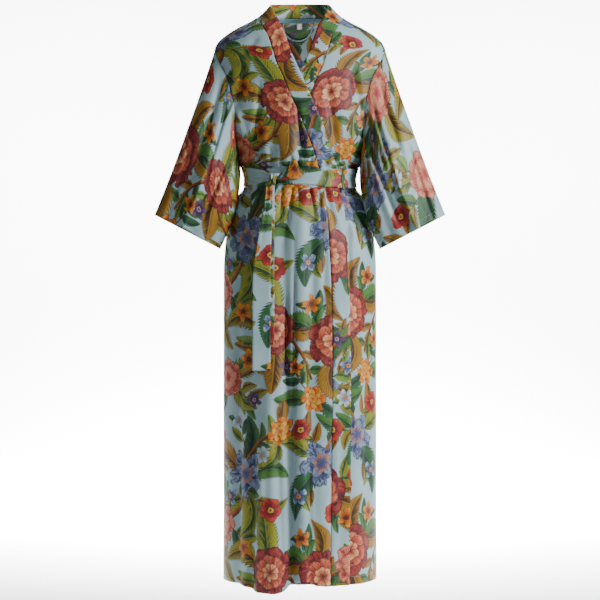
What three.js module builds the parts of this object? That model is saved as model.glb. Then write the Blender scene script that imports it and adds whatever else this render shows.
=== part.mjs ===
// A long kimono robe in its worn, hollow shape with nobody in it: crossed fronts, deep wide sleeves,
// one long folded neckband, and a tied belt held by two loops.
// Millimetres, +Z up, the front faces -Y, and the wearer's left is +X.
// The origin is the middle of the neck seam, level with the two neck points that the shoulders carry.
import * as THREE from "three";

// Driving sizes
const hemLevel = -1332; // from the neck points down to the hem
const shoulderTip = -78; // level of the top of the armhole
const underarm = -352; // level of the bottom of the armhole
const armholeTurn = THREE.MathUtils.degToRad(40.5); // how far round the body the armhole opens
const beltMiddle = -386;
const beltWidth = 44;
const beltEndWidth = 42;
const clothWall = 1.4;
const foldedWall = 2; // neckband and belt are folded double
const seamGap = 0.4;
const wrapLift = 3.6; // how far the outer front lies over the inner one
const wrapRamp = 26; // over this width it comes back down to the body
const foldFade = 34; // a fold fades out over this length at its ends
const hipLevel = -600; // below this the skirt hangs straight and takes the hem's own line
const collarRise = 32; // height of the band's edge over the neck point
const collarBackRise = 10; // and how much higher it stands at the back
const neckBackRise = 3;

// Half width, front depth and back depth of the robe at each level
const sections = [
  { z: 44, half: 63, front: 26, back: 55 },
  { z: 32, half: 70, front: 30, back: 57 },
  { z: 14, half: 86, front: 36, back: 60 },
  { z: 0, half: 102, front: 45, back: 63 },
  { z: -12, half: 121, front: 58, back: 73 },
  { z: -26, half: 149, front: 68, back: 81 },
  { z: -48, half: 182, front: 79, back: 90 },
  { z: -62, half: 196, front: 84, back: 94 },
  { z: -78, half: 203, front: 90, back: 98 },
  { z: -112, half: 211, front: 98, back: 104 },
  { z: -152, half: 208, front: 105, back: 108 },
  { z: -219, half: 200, front: 112, back: 108 },
  { z: -285, half: 181, front: 116, back: 104 },
  { z: -330, half: 155, front: 116, back: 100 },
  { z: -352, half: 142, front: 111, back: 97 },
  { z: -364, half: 135, front: 101, back: 93 },
  { z: -386, half: 130, front: 97, back: 91 },
  { z: -408, half: 134, front: 99, back: 93 },
  { z: -424, half: 147, front: 105, back: 99 },
  { z: -442, half: 157, front: 110, back: 105 },
  { z: -470, half: 166, front: 115, back: 111 },
  { z: -524, half: 175, front: 120, back: 117 },
  { z: -600, half: 180, front: 123, back: 121 },
  { z: -1350, half: 181, front: 128, back: 127 },
];

// The front edge, from the neck point down: how far the band's seam and its free edge lie towards the
// front's own side (negative once they cross the middle), and how far the free edge is above the seam
const frontEdge = [
  { z: 0, seam: 102, free: 70, rise: 32 },
  { z: -6, seam: 101, free: 66, rise: 30 },
  { z: -14, seam: 97, free: 62, rise: 28 },
  { z: -26, seam: 90, free: 56, rise: 27 },
  { z: -39, seam: 83, free: 50, rise: 27 },
  { z: -52, seam: 76, free: 43, rise: 25 },
  { z: -85, seam: 65, free: 31, rise: 24 },
  { z: -117, seam: 56, free: 19, rise: 21 },
  { z: -145, seam: 43, free: 6, rise: 19 },
  { z: -185, seam: 27, free: -12, rise: 18 },
  { z: -243, seam: 0, free: -38, rise: 18 },
  { z: -300, seam: -22, free: -60, rise: 16 },
  { z: -352, seam: -40, free: -81, rise: 10 },
  { z: -386, seam: -50, free: -91, rise: 4 },
  { z: -408, seam: -55, free: -96, rise: 0 },
  { z: -450, seam: -60, free: -101, rise: 0 },
  { z: -520, seam: -66, free: -107, rise: 0 },
  { z: -700, seam: -73, free: -114, rise: 0 },
  { z: -830, seam: -74, free: -116, rise: 0 },
  { z: -1350, seam: -71, free: -113, rise: 0 },
];
const freeEdge = frontEdge.map((row) => ({ z: row.z + row.rise, free: row.free }));

// Long folds: where each runs (x at its top and foot), how deep it is there, and how wide.
// A negative depth is a trough, and a positive one a ridge.
const frontFolds = [
  { top: -412, foot: -1350, xTop: -44, xFoot: -19, dTop: -3, dFoot: -15, width: 15 }, // beside the belt end
  { top: -412, foot: -1350, xTop: -74, xFoot: -58, dTop: 2, dFoot: 10, width: 24 },
  { top: -440, foot: -1350, xTop: 26, xFoot: 34, dTop: -6, dFoot: -3, width: 14 },
  { top: -412, foot: -1350, xTop: 4, xFoot: 8, dTop: 3, dFoot: 4, width: 15 },
  { top: -410, foot: -900, xTop: -112, xFoot: -120, dTop: -6, dFoot: -2, width: 14 },
  { top: -410, foot: -560, xTop: -106, xFoot: -150, dTop: -5, dFoot: -2, width: 11 }, // drag line
  { top: -410, foot: -560, xTop: 102, xFoot: 152, dTop: -6, dFoot: -2, width: 11 },
  { top: -600, foot: -1350, xTop: 128, xFoot: 136, dTop: 2, dFoot: 6, width: 20 },
  { top: -820, foot: -1350, xTop: 98, xFoot: 90, dTop: -2, dFoot: -6, width: 14 },
  { top: -190, foot: -362, xTop: -24, xFoot: 10, dTop: -1, dFoot: -6, width: 11 }, // down the crossed front
  { top: -230, foot: -362, xTop: -104, xFoot: -98, dTop: -1, dFoot: -5, width: 10 },
  { top: -220, foot: -362, xTop: -66, xFoot: -62, dTop: -1, dFoot: -4, width: 11 },
  { top: -230, foot: -362, xTop: 112, xFoot: 101, dTop: -1, dFoot: -5, width: 10 },
  { top: -210, foot: -362, xTop: 84, xFoot: 74, dTop: -1, dFoot: -3, width: 11 },
  { top: -240, foot: -362, xTop: -34, xFoot: -28, dTop: 1, dFoot: 4, width: 13 },
];
const backFolds = [
  { top: -412, foot: -1350, xTop: -96, xFoot: -104, dTop: -4, dFoot: -9, width: 17 },
  { top: -412, foot: -1350, xTop: -34, xFoot: -42, dTop: -4, dFoot: -13, width: 16 },
  { top: -412, foot: -1350, xTop: -62, xFoot: -72, dTop: 2, dFoot: 8, width: 20 },
  { top: -412, foot: -1350, xTop: 20, xFoot: 16, dTop: 2, dFoot: 7, width: 22 },
  { top: -412, foot: -1350, xTop: 52, xFoot: 60, dTop: -5, dFoot: -12, width: 16 },
  { top: -412, foot: -1350, xTop: 104, xFoot: 112, dTop: -3, dFoot: -6, width: 17 },
  { top: -240, foot: -362, xTop: -88, xFoot: -78, dTop: -1, dFoot: -6, width: 13 },
  { top: -220, foot: -362, xTop: -40, xFoot: -30, dTop: -1, dFoot: -5, width: 12 },
  { top: -250, foot: -362, xTop: 0, xFoot: 4, dTop: 1, dFoot: 5, width: 15 },
  { top: -220, foot: -362, xTop: 44, xFoot: 36, dTop: -1, dFoot: -5, width: 12 },
  { top: -240, foot: -362, xTop: 90, xFoot: 82, dTop: -1, dFoot: -6, width: 13 },
];

// How far the outer front's hem hangs below (or above) the level hem, across its width
const outerHem = [
  { x: -181, drop: 0 },
  { x: -150, drop: -2 },
  { x: -118, drop: -8 },
  { x: -100, drop: -15 },
  { x: -62, drop: -17 },
  { x: -40, drop: -13 },
  { x: -24, drop: 2 },
  { x: -8, drop: 8 },
  { x: 24, drop: 7 },
  { x: 36, drop: 1 },
  { x: 80, drop: -2 },
  { x: 114, drop: -1 },
];

// The sleeve's cuff, seen from the front, and the pose of the sleeve between armhole and cuff
const cuff = { innerX: 188, innerZ: -551, outerX: 342, outerZ: -471, halfDepth: 40 };
const sleeveForward = 50; // the sleeves hang this far in front of the side seams
const sleeveInnerHang = 15; // and their underarm seam hangs this far in from a straight line
const sleeveOuterHang = 6; // while the upper edge sags this far in
const sleeveFolds = [
  { at: 0.2, dTop: -2, dCuff: -5, width: 0.07 },
  { at: 0.42, dTop: -6, dCuff: -3, width: 0.09 },
  { at: 0.58, dTop: 3, dCuff: 5, width: 0.09 },
  { at: 0.74, dTop: -1, dCuff: -6, width: 0.07 },
];

// Colours and finishes of the real robe
const printedCloth = new THREE.MeshStandardMaterial({ color: 0x9fb8bd, roughness: 0.62 });
const bandCloth = new THREE.MeshStandardMaterial({ color: 0xa3bcc1, roughness: 0.6 });
const beltCloth = new THREE.MeshStandardMaterial({ color: 0x9ab4ba, roughness: 0.6 });
const tapeCloth = new THREE.MeshStandardMaterial({ color: 0x6f93a6, roughness: 0.75 });
const labelCloth = new THREE.MeshStandardMaterial({ color: 0xf1efe9, roughness: 0.8 });

// A table read at any point between its rows, by a curve that never overshoots them
function readTable(rows, keyName, valueName) {
  const sorted = [...rows].sort((a, b) => a[keyName] - b[keyName]);
  const keys = sorted.map((row) => row[keyName]);
  const values = sorted.map((row) => row[valueName]);
  const slopes = keys.slice(1).map((key, i) => (values[i + 1] - values[i]) / (key - keys[i]));
  const tangents = keys.map((key, i) => {
    if (i === 0 || i === keys.length - 1) return slopes[Math.min(i, slopes.length - 1)];
    const before = slopes[i - 1];
    const after = slopes[i];
    return before * after <= 0 ? 0 : (2 * before * after) / (before + after);
  });
  return (key) => {
    if (key <= keys[0]) return values[0];
    if (key >= keys[keys.length - 1]) return values[values.length - 1];
    const i = keys.findIndex((k) => k > key) - 1;
    const span = keys[i + 1] - keys[i];
    const t = (key - keys[i]) / span;
    const [t2, t3] = [t * t, t * t * t];
    return (
      (2 * t3 - 3 * t2 + 1) * values[i] +
      (t3 - 2 * t2 + t) * span * tangents[i] +
      (3 * t2 - 2 * t3) * values[i + 1] +
      (t3 - t2) * span * tangents[i + 1]
    );
  };
}
const halfAt = readTable(sections, "z", "half");
const depthAt = { [-1]: readTable(sections, "z", "front"), [1]: readTable(sections, "z", "back") };
const seamAt = readTable(frontEdge, "z", "seam");
const freeAt = readTable(frontEdge, "z", "free");
const riseAt = readTable(frontEdge, "z", "rise");
const freeEdgeAt = readTable(freeEdge, "z", "free");
const outerHemAt = readTable(outerHem, "x", "drop");

const mix = THREE.MathUtils.lerp;
const ease = (t) => THREE.MathUtils.smoothstep(t, 0, 1);
const bell = (t) => Math.exp(-t * t);
const front = -1;
const back = 1;

// The sum of the folds at one place. They fade out within a short way of their ends.
function foldDepth(x, z, side) {
  let sum = 0;
  for (const fold of side === front ? frontFolds : backFolds) {
    const t = (z - fold.top) / (fold.foot - fold.top);
    const openFoot = fold.foot < hemLevel;
    const fadeIn = ease((fold.top - z) / foldFade);
    const fadeOut = openFoot ? 1 : ease((z - fold.foot) / foldFade);
    const along = THREE.MathUtils.clamp(t, 0, 1);
    const reach = (x - mix(fold.xTop, fold.xFoot, along)) / fold.width;
    sum += mix(fold.dTop, fold.dFoot, along) * bell(reach) * fadeIn * fadeOut;
  }
  return sum;
}

// The robe's outer surface. The turn is 0 at the wearer's left side and pi at the right side.
function robePoint(turn, z, side, out = 0, foldShare = 1) {
  const half = halfAt(z);
  const depth = depthAt[side](z);
  const x = half * Math.cos(turn);
  const y = side * depth * Math.sin(turn);
  const outward = new THREE.Vector3(Math.cos(turn) / half, (side * Math.sin(turn)) / depth, 0);
  outward.normalize().multiplyScalar(out + foldShare * foldDepth(x, z, side));
  return new THREE.Vector3(x, y, z).add(outward);
}
function turnAt(x, z) {
  return Math.acos(THREE.MathUtils.clamp(x / halfAt(z), -1, 1));
}

// The unit normal of a surface given by a function of two numbers, turned to face the given way
function normalOf(surface, u, v, stepU, stepV, facing) {
  const alongU = surface(u + stepU, v).sub(surface(u - stepU, v));
  const alongV = surface(u, v + stepV).sub(surface(u, v - stepV));
  const normal = alongU.cross(alongV).normalize();
  return normal.dot(facing) < 0 ? normal.negate() : normal;
}

// A closed wall over a grid of outer points; inset gives what to take off each one to reach the inner face
function wallGeometry(columns, rows, point, inset, closed = false) {
  const positions = [];
  const wide = closed ? columns : columns + 1;
  for (const layer of [0, 1]) {
    for (let j = 0; j <= rows; j++) {
      for (let i = 0; i < wide; i++) {
        const p = point(i, j);
        if (layer === 1) p.sub(inset(i, j));
        positions.push(p.x, p.y, p.z);
      }
    }
  }
  const layerSize = wide * (rows + 1);
  const at = (i, j, layer) => layer * layerSize + j * wide + (i % wide);
  const faces = [];
  const quad = (a, b, c, d) => faces.push(a, b, c, a, c, d);
  for (let j = 0; j < rows; j++) {
    for (let i = 0; i < columns; i++) {
      quad(at(i, j, 0), at(i + 1, j, 0), at(i + 1, j + 1, 0), at(i, j + 1, 0));
      quad(at(i, j, 1), at(i, j + 1, 1), at(i + 1, j + 1, 1), at(i + 1, j, 1));
    }
    if (!closed) {
      quad(at(0, j, 0), at(0, j + 1, 0), at(0, j + 1, 1), at(0, j, 1));
      quad(at(columns, j, 0), at(columns, j, 1), at(columns, j + 1, 1), at(columns, j + 1, 0));
    }
  }
  for (let i = 0; i < columns; i++) {
    quad(at(i, 0, 0), at(i, 0, 1), at(i + 1, 0, 1), at(i + 1, 0, 0));
    quad(at(i, rows, 0), at(i + 1, rows, 0), at(i + 1, rows, 1), at(i, rows, 1));
  }
  if (enclosedVolume(positions, faces) < 0) faces.reverse();
  const geometry = new THREE.BufferGeometry();
  geometry.setAttribute("position", new THREE.Float32BufferAttribute(positions, 3));
  geometry.setIndex(faces);
  geometry.computeVertexNormals();
  return geometry;
}
function enclosedVolume(positions, faces) {
  const corner = (k) => new THREE.Vector3().fromArray(positions, 3 * k);
  let six = 0;
  for (let f = 0; f < faces.length; f += 3) {
    six += corner(faces[f]).dot(corner(faces[f + 1]).cross(corner(faces[f + 2])));
  }
  return six / 6;
}
function namedMesh(name, geometry, material) {
  const mesh = new THREE.Mesh(geometry, material);
  mesh.name = name;
  return mesh;
}

// Levels of the rows of cloth: shoulder, armhole (spaced as the sleeve's own ring is), waist and skirt
const ringSteps = 12;
const shoulderLevels = [-1, -6, -14, -25, -38, -54];
const ringShares = Array.from({ length: ringSteps + 1 }, (_, k) => 1 - k / ringSteps);
const armholeLevels = ringShares.map((share) => armholeLevel(Math.PI * share));
const waistLevels = [-358, -364, -374, -386, -398, -408, -416, -427, -444, -470, -510, -560];
const skirtLevels = [-630, -720, -820, -930, -1040, -1140, -1240, hemLevel];
const panelLevels = [...shoulderLevels, ...armholeLevels, ...waistLevels, ...skirtLevels];

function armholeLevel(ringTurn) {
  return mix(underarm, shoulderTip, (1 - Math.cos(ringTurn)) / 2);
}
// How far round from the side the armhole's edge lies at this level
function armholeEdge(z) {
  const t = (z - underarm) / (shoulderTip - underarm);
  return t <= 0 || t >= 1 ? 0 : armholeTurn * 2 * Math.sqrt(t * (1 - t));
}

// The outer front lies over the inner one, and comes back to the body before its side seam
function outerLift(x, z) {
  const beyondEdge = 8;
  return wrapLift * ease((x - freeEdgeAt(z) + beyondEdge + wrapRamp) / wrapRamp);
}
// Behind the outer front the inner one hangs free, and back clear of the outer one's deep folds
const hangRoom = { skirt: 22, skirtLength: 240, bodice: 9, bodiceLength: 60, width: 34, margin: 14 };
function hiddenShare(x, z) {
  return ease((-freeEdgeAt(z) - hangRoom.margin - x) / hangRoom.width);
}
function innerHang(x, z) {
  const skirt = z < beltMiddle;
  const fromBelt = Math.abs(z - beltMiddle) - beltWidth / 2;
  const full = skirt ? hangRoom.skirt : hangRoom.bodice;
  const length = skirt ? hangRoom.skirtLength : hangRoom.bodiceLength;
  return -hiddenShare(x, z) * full * ease(fromBelt / length);
}

// The two layers as surfaces over x and level. Each is the robe's surface with its own offset.
const outerLayer = (turn, z) => robePoint(turn, z, front, outerLift(halfAt(z) * Math.cos(turn), z));
const innerLayer = (turn, z) => {
  const x = halfAt(z) * Math.cos(turn);
  return robePoint(turn, z, front, innerHang(x, z), 1 - hiddenShare(x, z));
};
const backLayer = (turn, z) => robePoint(turn, z, back);

const turnStep = 0.002;
const levelStep = 0.5;
function layerNormal(layer, side, turn, z) {
  const facing = new THREE.Vector3(Math.cos(turn), side * Math.sin(turn), 0.2);
  return normalOf(layer, turn, z, turnStep, levelStep, facing);
}
function hemmed(z, drop) {
  return z > hipLevel ? z : z + (drop * (z - hipLevel)) / (hemLevel - hipLevel);
}

// Where body and sleeve meet at an outward corner, both walls end on the same slanted face
function cornerInset(ownNormal, otherNormal) {
  const middle = ownNormal.clone().add(otherNormal).normalize();
  return middle.multiplyScalar(clothWall / Math.max(0.6, middle.dot(ownNormal)));
}
// The armhole's ring is turned 0 at the underarm and pi at the shoulder tip, and less than pi in front
function ringTurnAt(z, side) {
  const turn = Math.acos(THREE.MathUtils.clamp(1 - (2 * (z - underarm)) / (shoulderTip - underarm), -1, 1));
  return side === front ? turn : 2 * Math.PI - turn;
}
// How a body panel's wall is taken in at its armhole edge
const cornerFrom = 60; // no corner this near above the underarm
const atRing = 0.004; // just past the armhole, along the sleeve
function bodyInset(own, side, z, hand) {
  if (z > shoulderTip || z < underarm + cornerFrom) return own.multiplyScalar(clothWall);
  const ring = ringTurnAt(z, side);
  const leaving = sleevePoint(ring, 0.2, hand).sub(sleevePoint(ring, 0, hand));
  if (own.dot(leaving) >= 0) return own.multiplyScalar(clothWall);
  return cornerInset(own, sleeveNormal(ring, atRing, hand));
}
function sleevePoint(ringTurn, v, hand) {
  const t = (1 - Math.cos(ringTurn)) / 2;
  const side = Math.sin(ringTurn) >= 0 ? front : back;
  const z = armholeLevel(ringTurn);
  const start = robePoint(armholeEdge(z), z, side, 0, 0);
  const around = Math.abs(Math.sin(ringTurn));
  const end = new THREE.Vector3(
    mix(cuff.innerX, cuff.outerX, t),
    side * cuff.halfDepth * around,
    mix(cuff.innerZ, cuff.outerZ, t),
  );
  const p = start.clone().lerp(end, v);
  p.y -= sleeveForward * Math.sin((Math.PI / 2) * Math.min(1, v / 0.62));
  p.x -= 4 * v * (1 - v) * (sleeveInnerHang * (1 - t) ** 3 + sleeveOuterHang * t ** 3);
  for (const fold of sleeveFolds) {
    const shift = side === front ? 0 : 0.06;
    p.y += side * mix(fold.dTop, fold.dCuff, v) * bell((t - fold.at - shift) / fold.width) * ease(v / 0.25);
  }
  if (v < 0.1) {
    const leave = robePoint(armholeEdge(z), z, side, 1, 0).sub(start).add(end.sub(start).normalize());
    p.add(leave.normalize().multiplyScalar((seamGap + 0.25) * (1 - v / 0.1)));
  }
  p.x *= hand;
  return p;
}
function sleeveNormal(ringTurn, v, hand) {
  const t = (1 - Math.cos(ringTurn)) / 2;
  const side = Math.sin(ringTurn) >= 0 ? front : back;
  const facing = new THREE.Vector3(
    hand * (t - 0.5) * 2,
    side * Math.abs(Math.sin(ringTurn)),
    (0.5 - t) * 0.4,
  );
  return normalOf((a, b) => sleevePoint(a, b, hand), ringTurn, v, 0.01, 0.004, facing);
}

// A body panel between its side (or shoulder, or armhole) and its inner edge, row by row
function panelGeometry(layer, side, hand, columns, levels, edgeTurn, drop) {
  const place = (i, j) => {
    const z = levels[j];
    const seam = seamGap / 2 / depthAt[side](z);
    const start = Math.max(armholeEdge(z), seam);
    const turn = mix(start, edgeTurn(z), i / columns);
    return { turn: hand > 0 ? turn : Math.PI - turn, z };
  };
  const point = (i, j) => {
    const { turn, z } = place(i, j);
    return layer(turn, hemmed(z, drop(halfAt(z) * Math.cos(turn), z)));
  };
  const inset = (i, j) => {
    const { turn, z } = place(i, j);
    const own = layerNormal(layer, side, turn, z);
    return i > 0 ? own.multiplyScalar(clothWall) : bodyInset(own, side, z, hand);
  };
  return wallGeometry(columns, levels.length - 1, point, inset);
}

const levelDrop = () => 0;
const edgeGap = (seamGap + 0.1) / 2;
function frontEdgeTurn(z) {
  return turnAt(seamAt(z) + edgeGap, z);
}
function rightFront() {
  const geometry = panelGeometry(outerLayer, front, -1, 24, panelLevels, frontEdgeTurn, outerHemAt);
  return namedMesh("front_right_outer", geometry, printedCloth);
}
function leftFront() {
  const geometry = panelGeometry(innerLayer, front, 1, 16, panelLevels, frontEdgeTurn, levelDrop);
  return namedMesh("front_left_inner", geometry, printedCloth);
}

// The back is one panel from side seam to side seam, and narrows over the shoulders to the neck seam
function backPanel() {
  const columns = 30;
  const levels = panelLevels;
  const place = (i, j) => {
    const z = levels[j];
    const start = Math.max(armholeEdge(z), seamGap / 2 / depthAt[back](z));
    return { turn: mix(start, Math.PI - start, i / columns), z };
  };
  const neckTop = (turn, z) => (z > -20 ? z + neckBackRise * Math.sin(turn) * ease((z + 20) / 19) : z);
  const point = (i, j) => {
    const { turn, z } = place(i, j);
    return backLayer(turn, neckTop(turn, z));
  };
  const inset = (i, j) => {
    const { turn, z } = place(i, j);
    const own = layerNormal(backLayer, back, turn, neckTop(turn, z));
    const inside = i > 0 && i < columns;
    return inside ? own.multiplyScalar(clothWall) : bodyInset(own, back, z, i === 0 ? 1 : -1);
  };
  return namedMesh("back", wallGeometry(columns, levels.length - 1, point, inset), printedCloth);
}

// A sleeve is one tube of cloth, closed along its underarm seam
function sleeve(name, hand) {
  const around = 2 * ringSteps;
  const steps = [0, 0.05, 0.14, 0.26, 0.4, 0.55, 0.7, 0.85, 1];
  const turnOf = (i) => (2 * Math.PI * i) / around;
  const point = (i, j) => sleevePoint(turnOf(i), steps[j], hand);
  const inset = (i, j) => {
    const ring = turnOf(i);
    const own = sleeveNormal(ring, THREE.MathUtils.clamp(steps[j], atRing, 1 - atRing), hand);
    const z = armholeLevel(ring);
    const leaving = sleevePoint(ring, 0.2, hand).sub(sleevePoint(ring, 0, hand));
    const side = Math.sin(ring) >= 0 ? front : back;
    const turn = hand > 0 ? armholeEdge(z) : Math.PI - armholeEdge(z);
    const other = layerNormal(side === front ? outerLayer : backLayer, side, turn, z);
    const corner = j === 0 && z >= underarm + cornerFrom && other.dot(leaving) < 0;
    return corner ? cornerInset(own, other) : own.multiplyScalar(clothWall);
  };
  return namedMesh(name, wallGeometry(around, steps.length - 1, point, inset, true), printedCloth);
}

// The neckband's two front lengths, from the neck point down to the hem
const bandLevels = [
  0, -4, -9, -16, -26, -39, -54, -72, -94, -120, -150, -185, -220, -255, -290, -318, -338, -352,
  ...waistLevels,
  ...skirtLevels,
];
function bandPoint(layer, hand, w, z, drop) {
  const level = z + riseAt(z) * w;
  const seam = seamAt(z) - edgeGap;
  const x = mix(seam, freeAt(z), w) * hand;
  const sideGap = seamGap / 2 / depthAt[front](level);
  const turn = THREE.MathUtils.clamp(turnAt(x, level), sideGap, Math.PI - sideGap);
  return layer(turn, hemmed(level, drop(x)));
}
function frontBand(name, layer, hand, drop) {
  const columns = 3;
  const surface = (w, z) => bandPoint(layer, hand, w, z, drop);
  const neckGap = (z) => (z > -60 ? 0.012 : 0);
  const widthAt = (i, j) => Math.max(i / columns, neckGap(bandLevels[j]));
  const point = (i, j) => surface(widthAt(i, j), bandLevels[j]);
  const facing = new THREE.Vector3(hand * 0.3, -1, 0.3);
  const inset = (i, j) => {
    const z = Math.min(bandLevels[j], -2);
    const w = THREE.MathUtils.clamp(widthAt(i, j), 0.03, 0.97);
    const normal = normalOf(surface, w, z, 0.01, 0.5, facing);
    if (j === 0) normal.setY(0).normalize();
    return normal.multiplyScalar(foldedWall);
  };
  return namedMesh(name, wallGeometry(columns, bandLevels.length - 1, point, inset), bandCloth);
}

// The same band round the back of the neck, standing as a low collar
function collar() {
  const columns = 3;
  const rows = 16;
  const surface = (w, turn) => {
    const foot = neckBackRise * Math.sin(turn);
    const top = collarRise + collarBackRise * Math.sin(turn);
    return backLayer(turn, mix(foot, top, w));
  };
  const turnOf = (j) => mix(seamGap / 90, Math.PI - seamGap / 90, j / rows);
  const footGap = 0.018;
  const point = (i, j) => surface(Math.max(footGap, i / columns), turnOf(j));
  const inset = (i, j) => {
    const turn = turnOf(j);
    const facing = new THREE.Vector3(Math.cos(turn), Math.sin(turn), 0.2);
    const w = THREE.MathUtils.clamp(i / columns, 0.03, 0.97);
    const normal = normalOf(surface, w, turn, 0.01, 0.01, facing);
    if (j === 0 || j === rows) normal.setY(0).normalize();
    return normal.multiplyScalar(foldedWall);
  };
  return namedMesh("neckband_back", wallGeometry(columns, rows, point, inset), bandCloth);
}

// The belt's edges across the front: full width at the sides, gathered narrow where it is knotted
const beltEdges = [
  { x: -136, top: -359, foot: -399 },
  { x: -110, top: -361, foot: -401 },
  { x: -86, top: -367, foot: -404 },
  { x: -64, top: -377, foot: -405 },
  { x: -30, top: -379, foot: -403 },
  { x: 8, top: -377, foot: -402 },
  { x: 60, top: -369, foot: -408 },
  { x: 104, top: -364, foot: -409 },
  { x: 136, top: -360, foot: -401 },
];
const beltTopAt = readTable(beltEdges, "x", "top");
const beltFootAt = readTable(beltEdges, "x", "foot");
const beltClear = 0.7;

// The belt lies on the outer front and on the back. Level by level it keeps just clear of both.
function beltPoint(turn, z, out) {
  const side = Math.sin(turn) < 0 ? front : back;
  const own = turn > Math.PI ? 2 * Math.PI - turn : turn;
  const lift = side === front ? wrapLift * ease(Math.sin(own) / 0.35) : 0;
  return robePoint(own, z, side, lift + beltClear + out, 0);
}
function beltWrap() {
  const around = 48;
  const rows = 4;
  const place = (i, j) => {
    const turn = (2 * Math.PI * i) / around;
    const x = turn < Math.PI ? Math.sign(Math.cos(turn)) * 136 : halfAt(beltMiddle) * Math.cos(turn);
    return { turn, z: mix(beltTopAt(x), beltFootAt(x), j / rows) };
  };
  const point = (i, j) => {
    const { turn, z } = place(i, j);
    return beltPoint(turn, z, foldedWall).setZ(z);
  };
  const inset = (i, j) => {
    const { turn, z } = place(i, j);
    return beltPoint(turn, z, foldedWall).sub(beltPoint(turn, z, 0));
  };
  return namedMesh("belt_wrap", wallGeometry(around, rows, point, inset, true), beltCloth);
}

// How far forward the robe and the belt reach at a level, over the width that the knot takes up
function knotGround(z) {
  const across = Array.from({ length: 12 }, (_, k) => -116 + 7 * k);
  return Math.min(...across.map((x) => outerLayer(Math.PI - turnAt(-x, z), z).y));
}
function beltFrontAt(x, z) {
  return robePoint(turnAt(x, z), z, front, wrapLift + beltClear + foldedWall, 0).y;
}

// The knot: a turn of belt folded narrow over the front of the belt, tucked in above and below it
const knot = { x: -64, z: -391, halfWidth: 12, rise: 15, wall: 3, bulge: 14, lean: 5, wrap: 0.8 * Math.PI };
function beltKnot() {
  const columns = 6;
  const rows = 12;
  const nearEdge = knot.x + 1.7 * knot.halfWidth;
  const levels = [knot.z + knot.rise, knot.z, knot.z - knot.rise];
  const rest = Math.min(...levels.map((z) => beltFrontAt(nearEdge, z))) + 0.6;
  const surface = (u, a) => {
    const flare = 1 + 0.3 * Math.cos(a) ** 2;
    const swell = 1 - 0.15 * (2 * u - 1) ** 2;
    const x = knot.x + (2 * u - 1) * knot.halfWidth * flare + knot.lean * Math.cos(a);
    const z = knot.z + knot.rise * Math.cos(a);
    return new THREE.Vector3(x, rest - knot.bulge * Math.sin(a) * swell, z);
  };
  const turnOf = (j) => (knot.wrap * j) / rows;
  const point = (i, j) => surface(i / columns, turnOf(j));
  const inset = (i, j) => {
    const a = turnOf(j);
    const facing = new THREE.Vector3(0, -Math.sin(a) - 0.1, Math.cos(a));
    const u = THREE.MathUtils.clamp(i / columns, 0.05, 0.95);
    return normalOf(surface, u, a, 0.01, 0.01, facing).multiplyScalar(knot.wall);
  };
  return namedMesh("belt_knot", wallGeometry(columns, rows, point, inset), beltCloth);
}

// The ear of the bow: belt pulled up out of the knot as a folded triangle
const ear = { left: -46, right: 8, peak: -12, foot: -388, top: -345, slope: 14 };
function beltEar() {
  const columns = 8;
  const rows = 4;
  const peakShare = (ear.peak - ear.left) / (ear.right - ear.left);
  const levels = [ear.foot, -375, -365, -355, ear.top];
  const ground = (z) => Math.min(...levels.filter((l) => l <= z + 10).map((l) => beltFrontAt(0, l)));
  const surface = (u, w) => {
    const height = u < peakShare ? ease(u / peakShare) : ease((1 - u) / (1 - peakShare));
    const foot = ear.foot - ear.slope * (1 - u) * 0.5;
    const z = mix(foot, mix(foot + 12, ear.top, height), w);
    const y = ground(z) - 5 * Math.sin(Math.PI * u) * (1 - 0.6 * w);
    return new THREE.Vector3(mix(ear.left, ear.right, u), y - foldedWall, z);
  };
  const point = (i, j) => surface(i / columns, j / rows);
  const inset = () => new THREE.Vector3(0, -foldedWall * 0.9, 0);
  return namedMesh("belt_knot_ear", wallGeometry(columns, rows, point, inset), beltCloth);
}

// The belt's two hanging ends leave the knot gathered narrow, one over the other, and widen as they fall
const beltEnds = [
  { name: "belt_end_long", foot: -834, xTop: -71, xFoot: -89, layer: 2.45, slant: 1 },
  { name: "belt_end_short", foot: -772, xTop: -67, xFoot: -80, layer: 0, slant: -3 },
];
const endClear = 2.2;
const endHead = { z: -397, width: 16, fall: 240 };
function beltEnd(end) {
  const columns = 4;
  const rows = 16;
  const surface = (u, t) => {
    const z = mix(endHead.z, end.foot, t) + end.slant * (u - 0.5) * t;
    const fallen = ease((endHead.z - z) / endHead.fall);
    const x = mix(end.xTop, end.xFoot, fallen) + (u - 0.5) * mix(endHead.width, beltEndWidth, fallen);
    const belt = z > beltFootAt(knot.x) - 12 ? beltFrontAt(knot.x + knot.halfWidth, z) : 0;
    const ground = Math.min(belt, knotGround(z)) - endClear - end.layer;
    const ripple = Math.sin(z / 75 + x / 21) * fallen;
    return new THREE.Vector3(x, ground - 1 - ripple, z);
  };
  const point = (i, j) => surface(i / columns, (j / rows) ** 1.4);
  const inset = () => new THREE.Vector3(0, -foldedWall, 0);
  return namedMesh(end.name, wallGeometry(columns, rows, point, inset), beltCloth);
}

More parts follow.
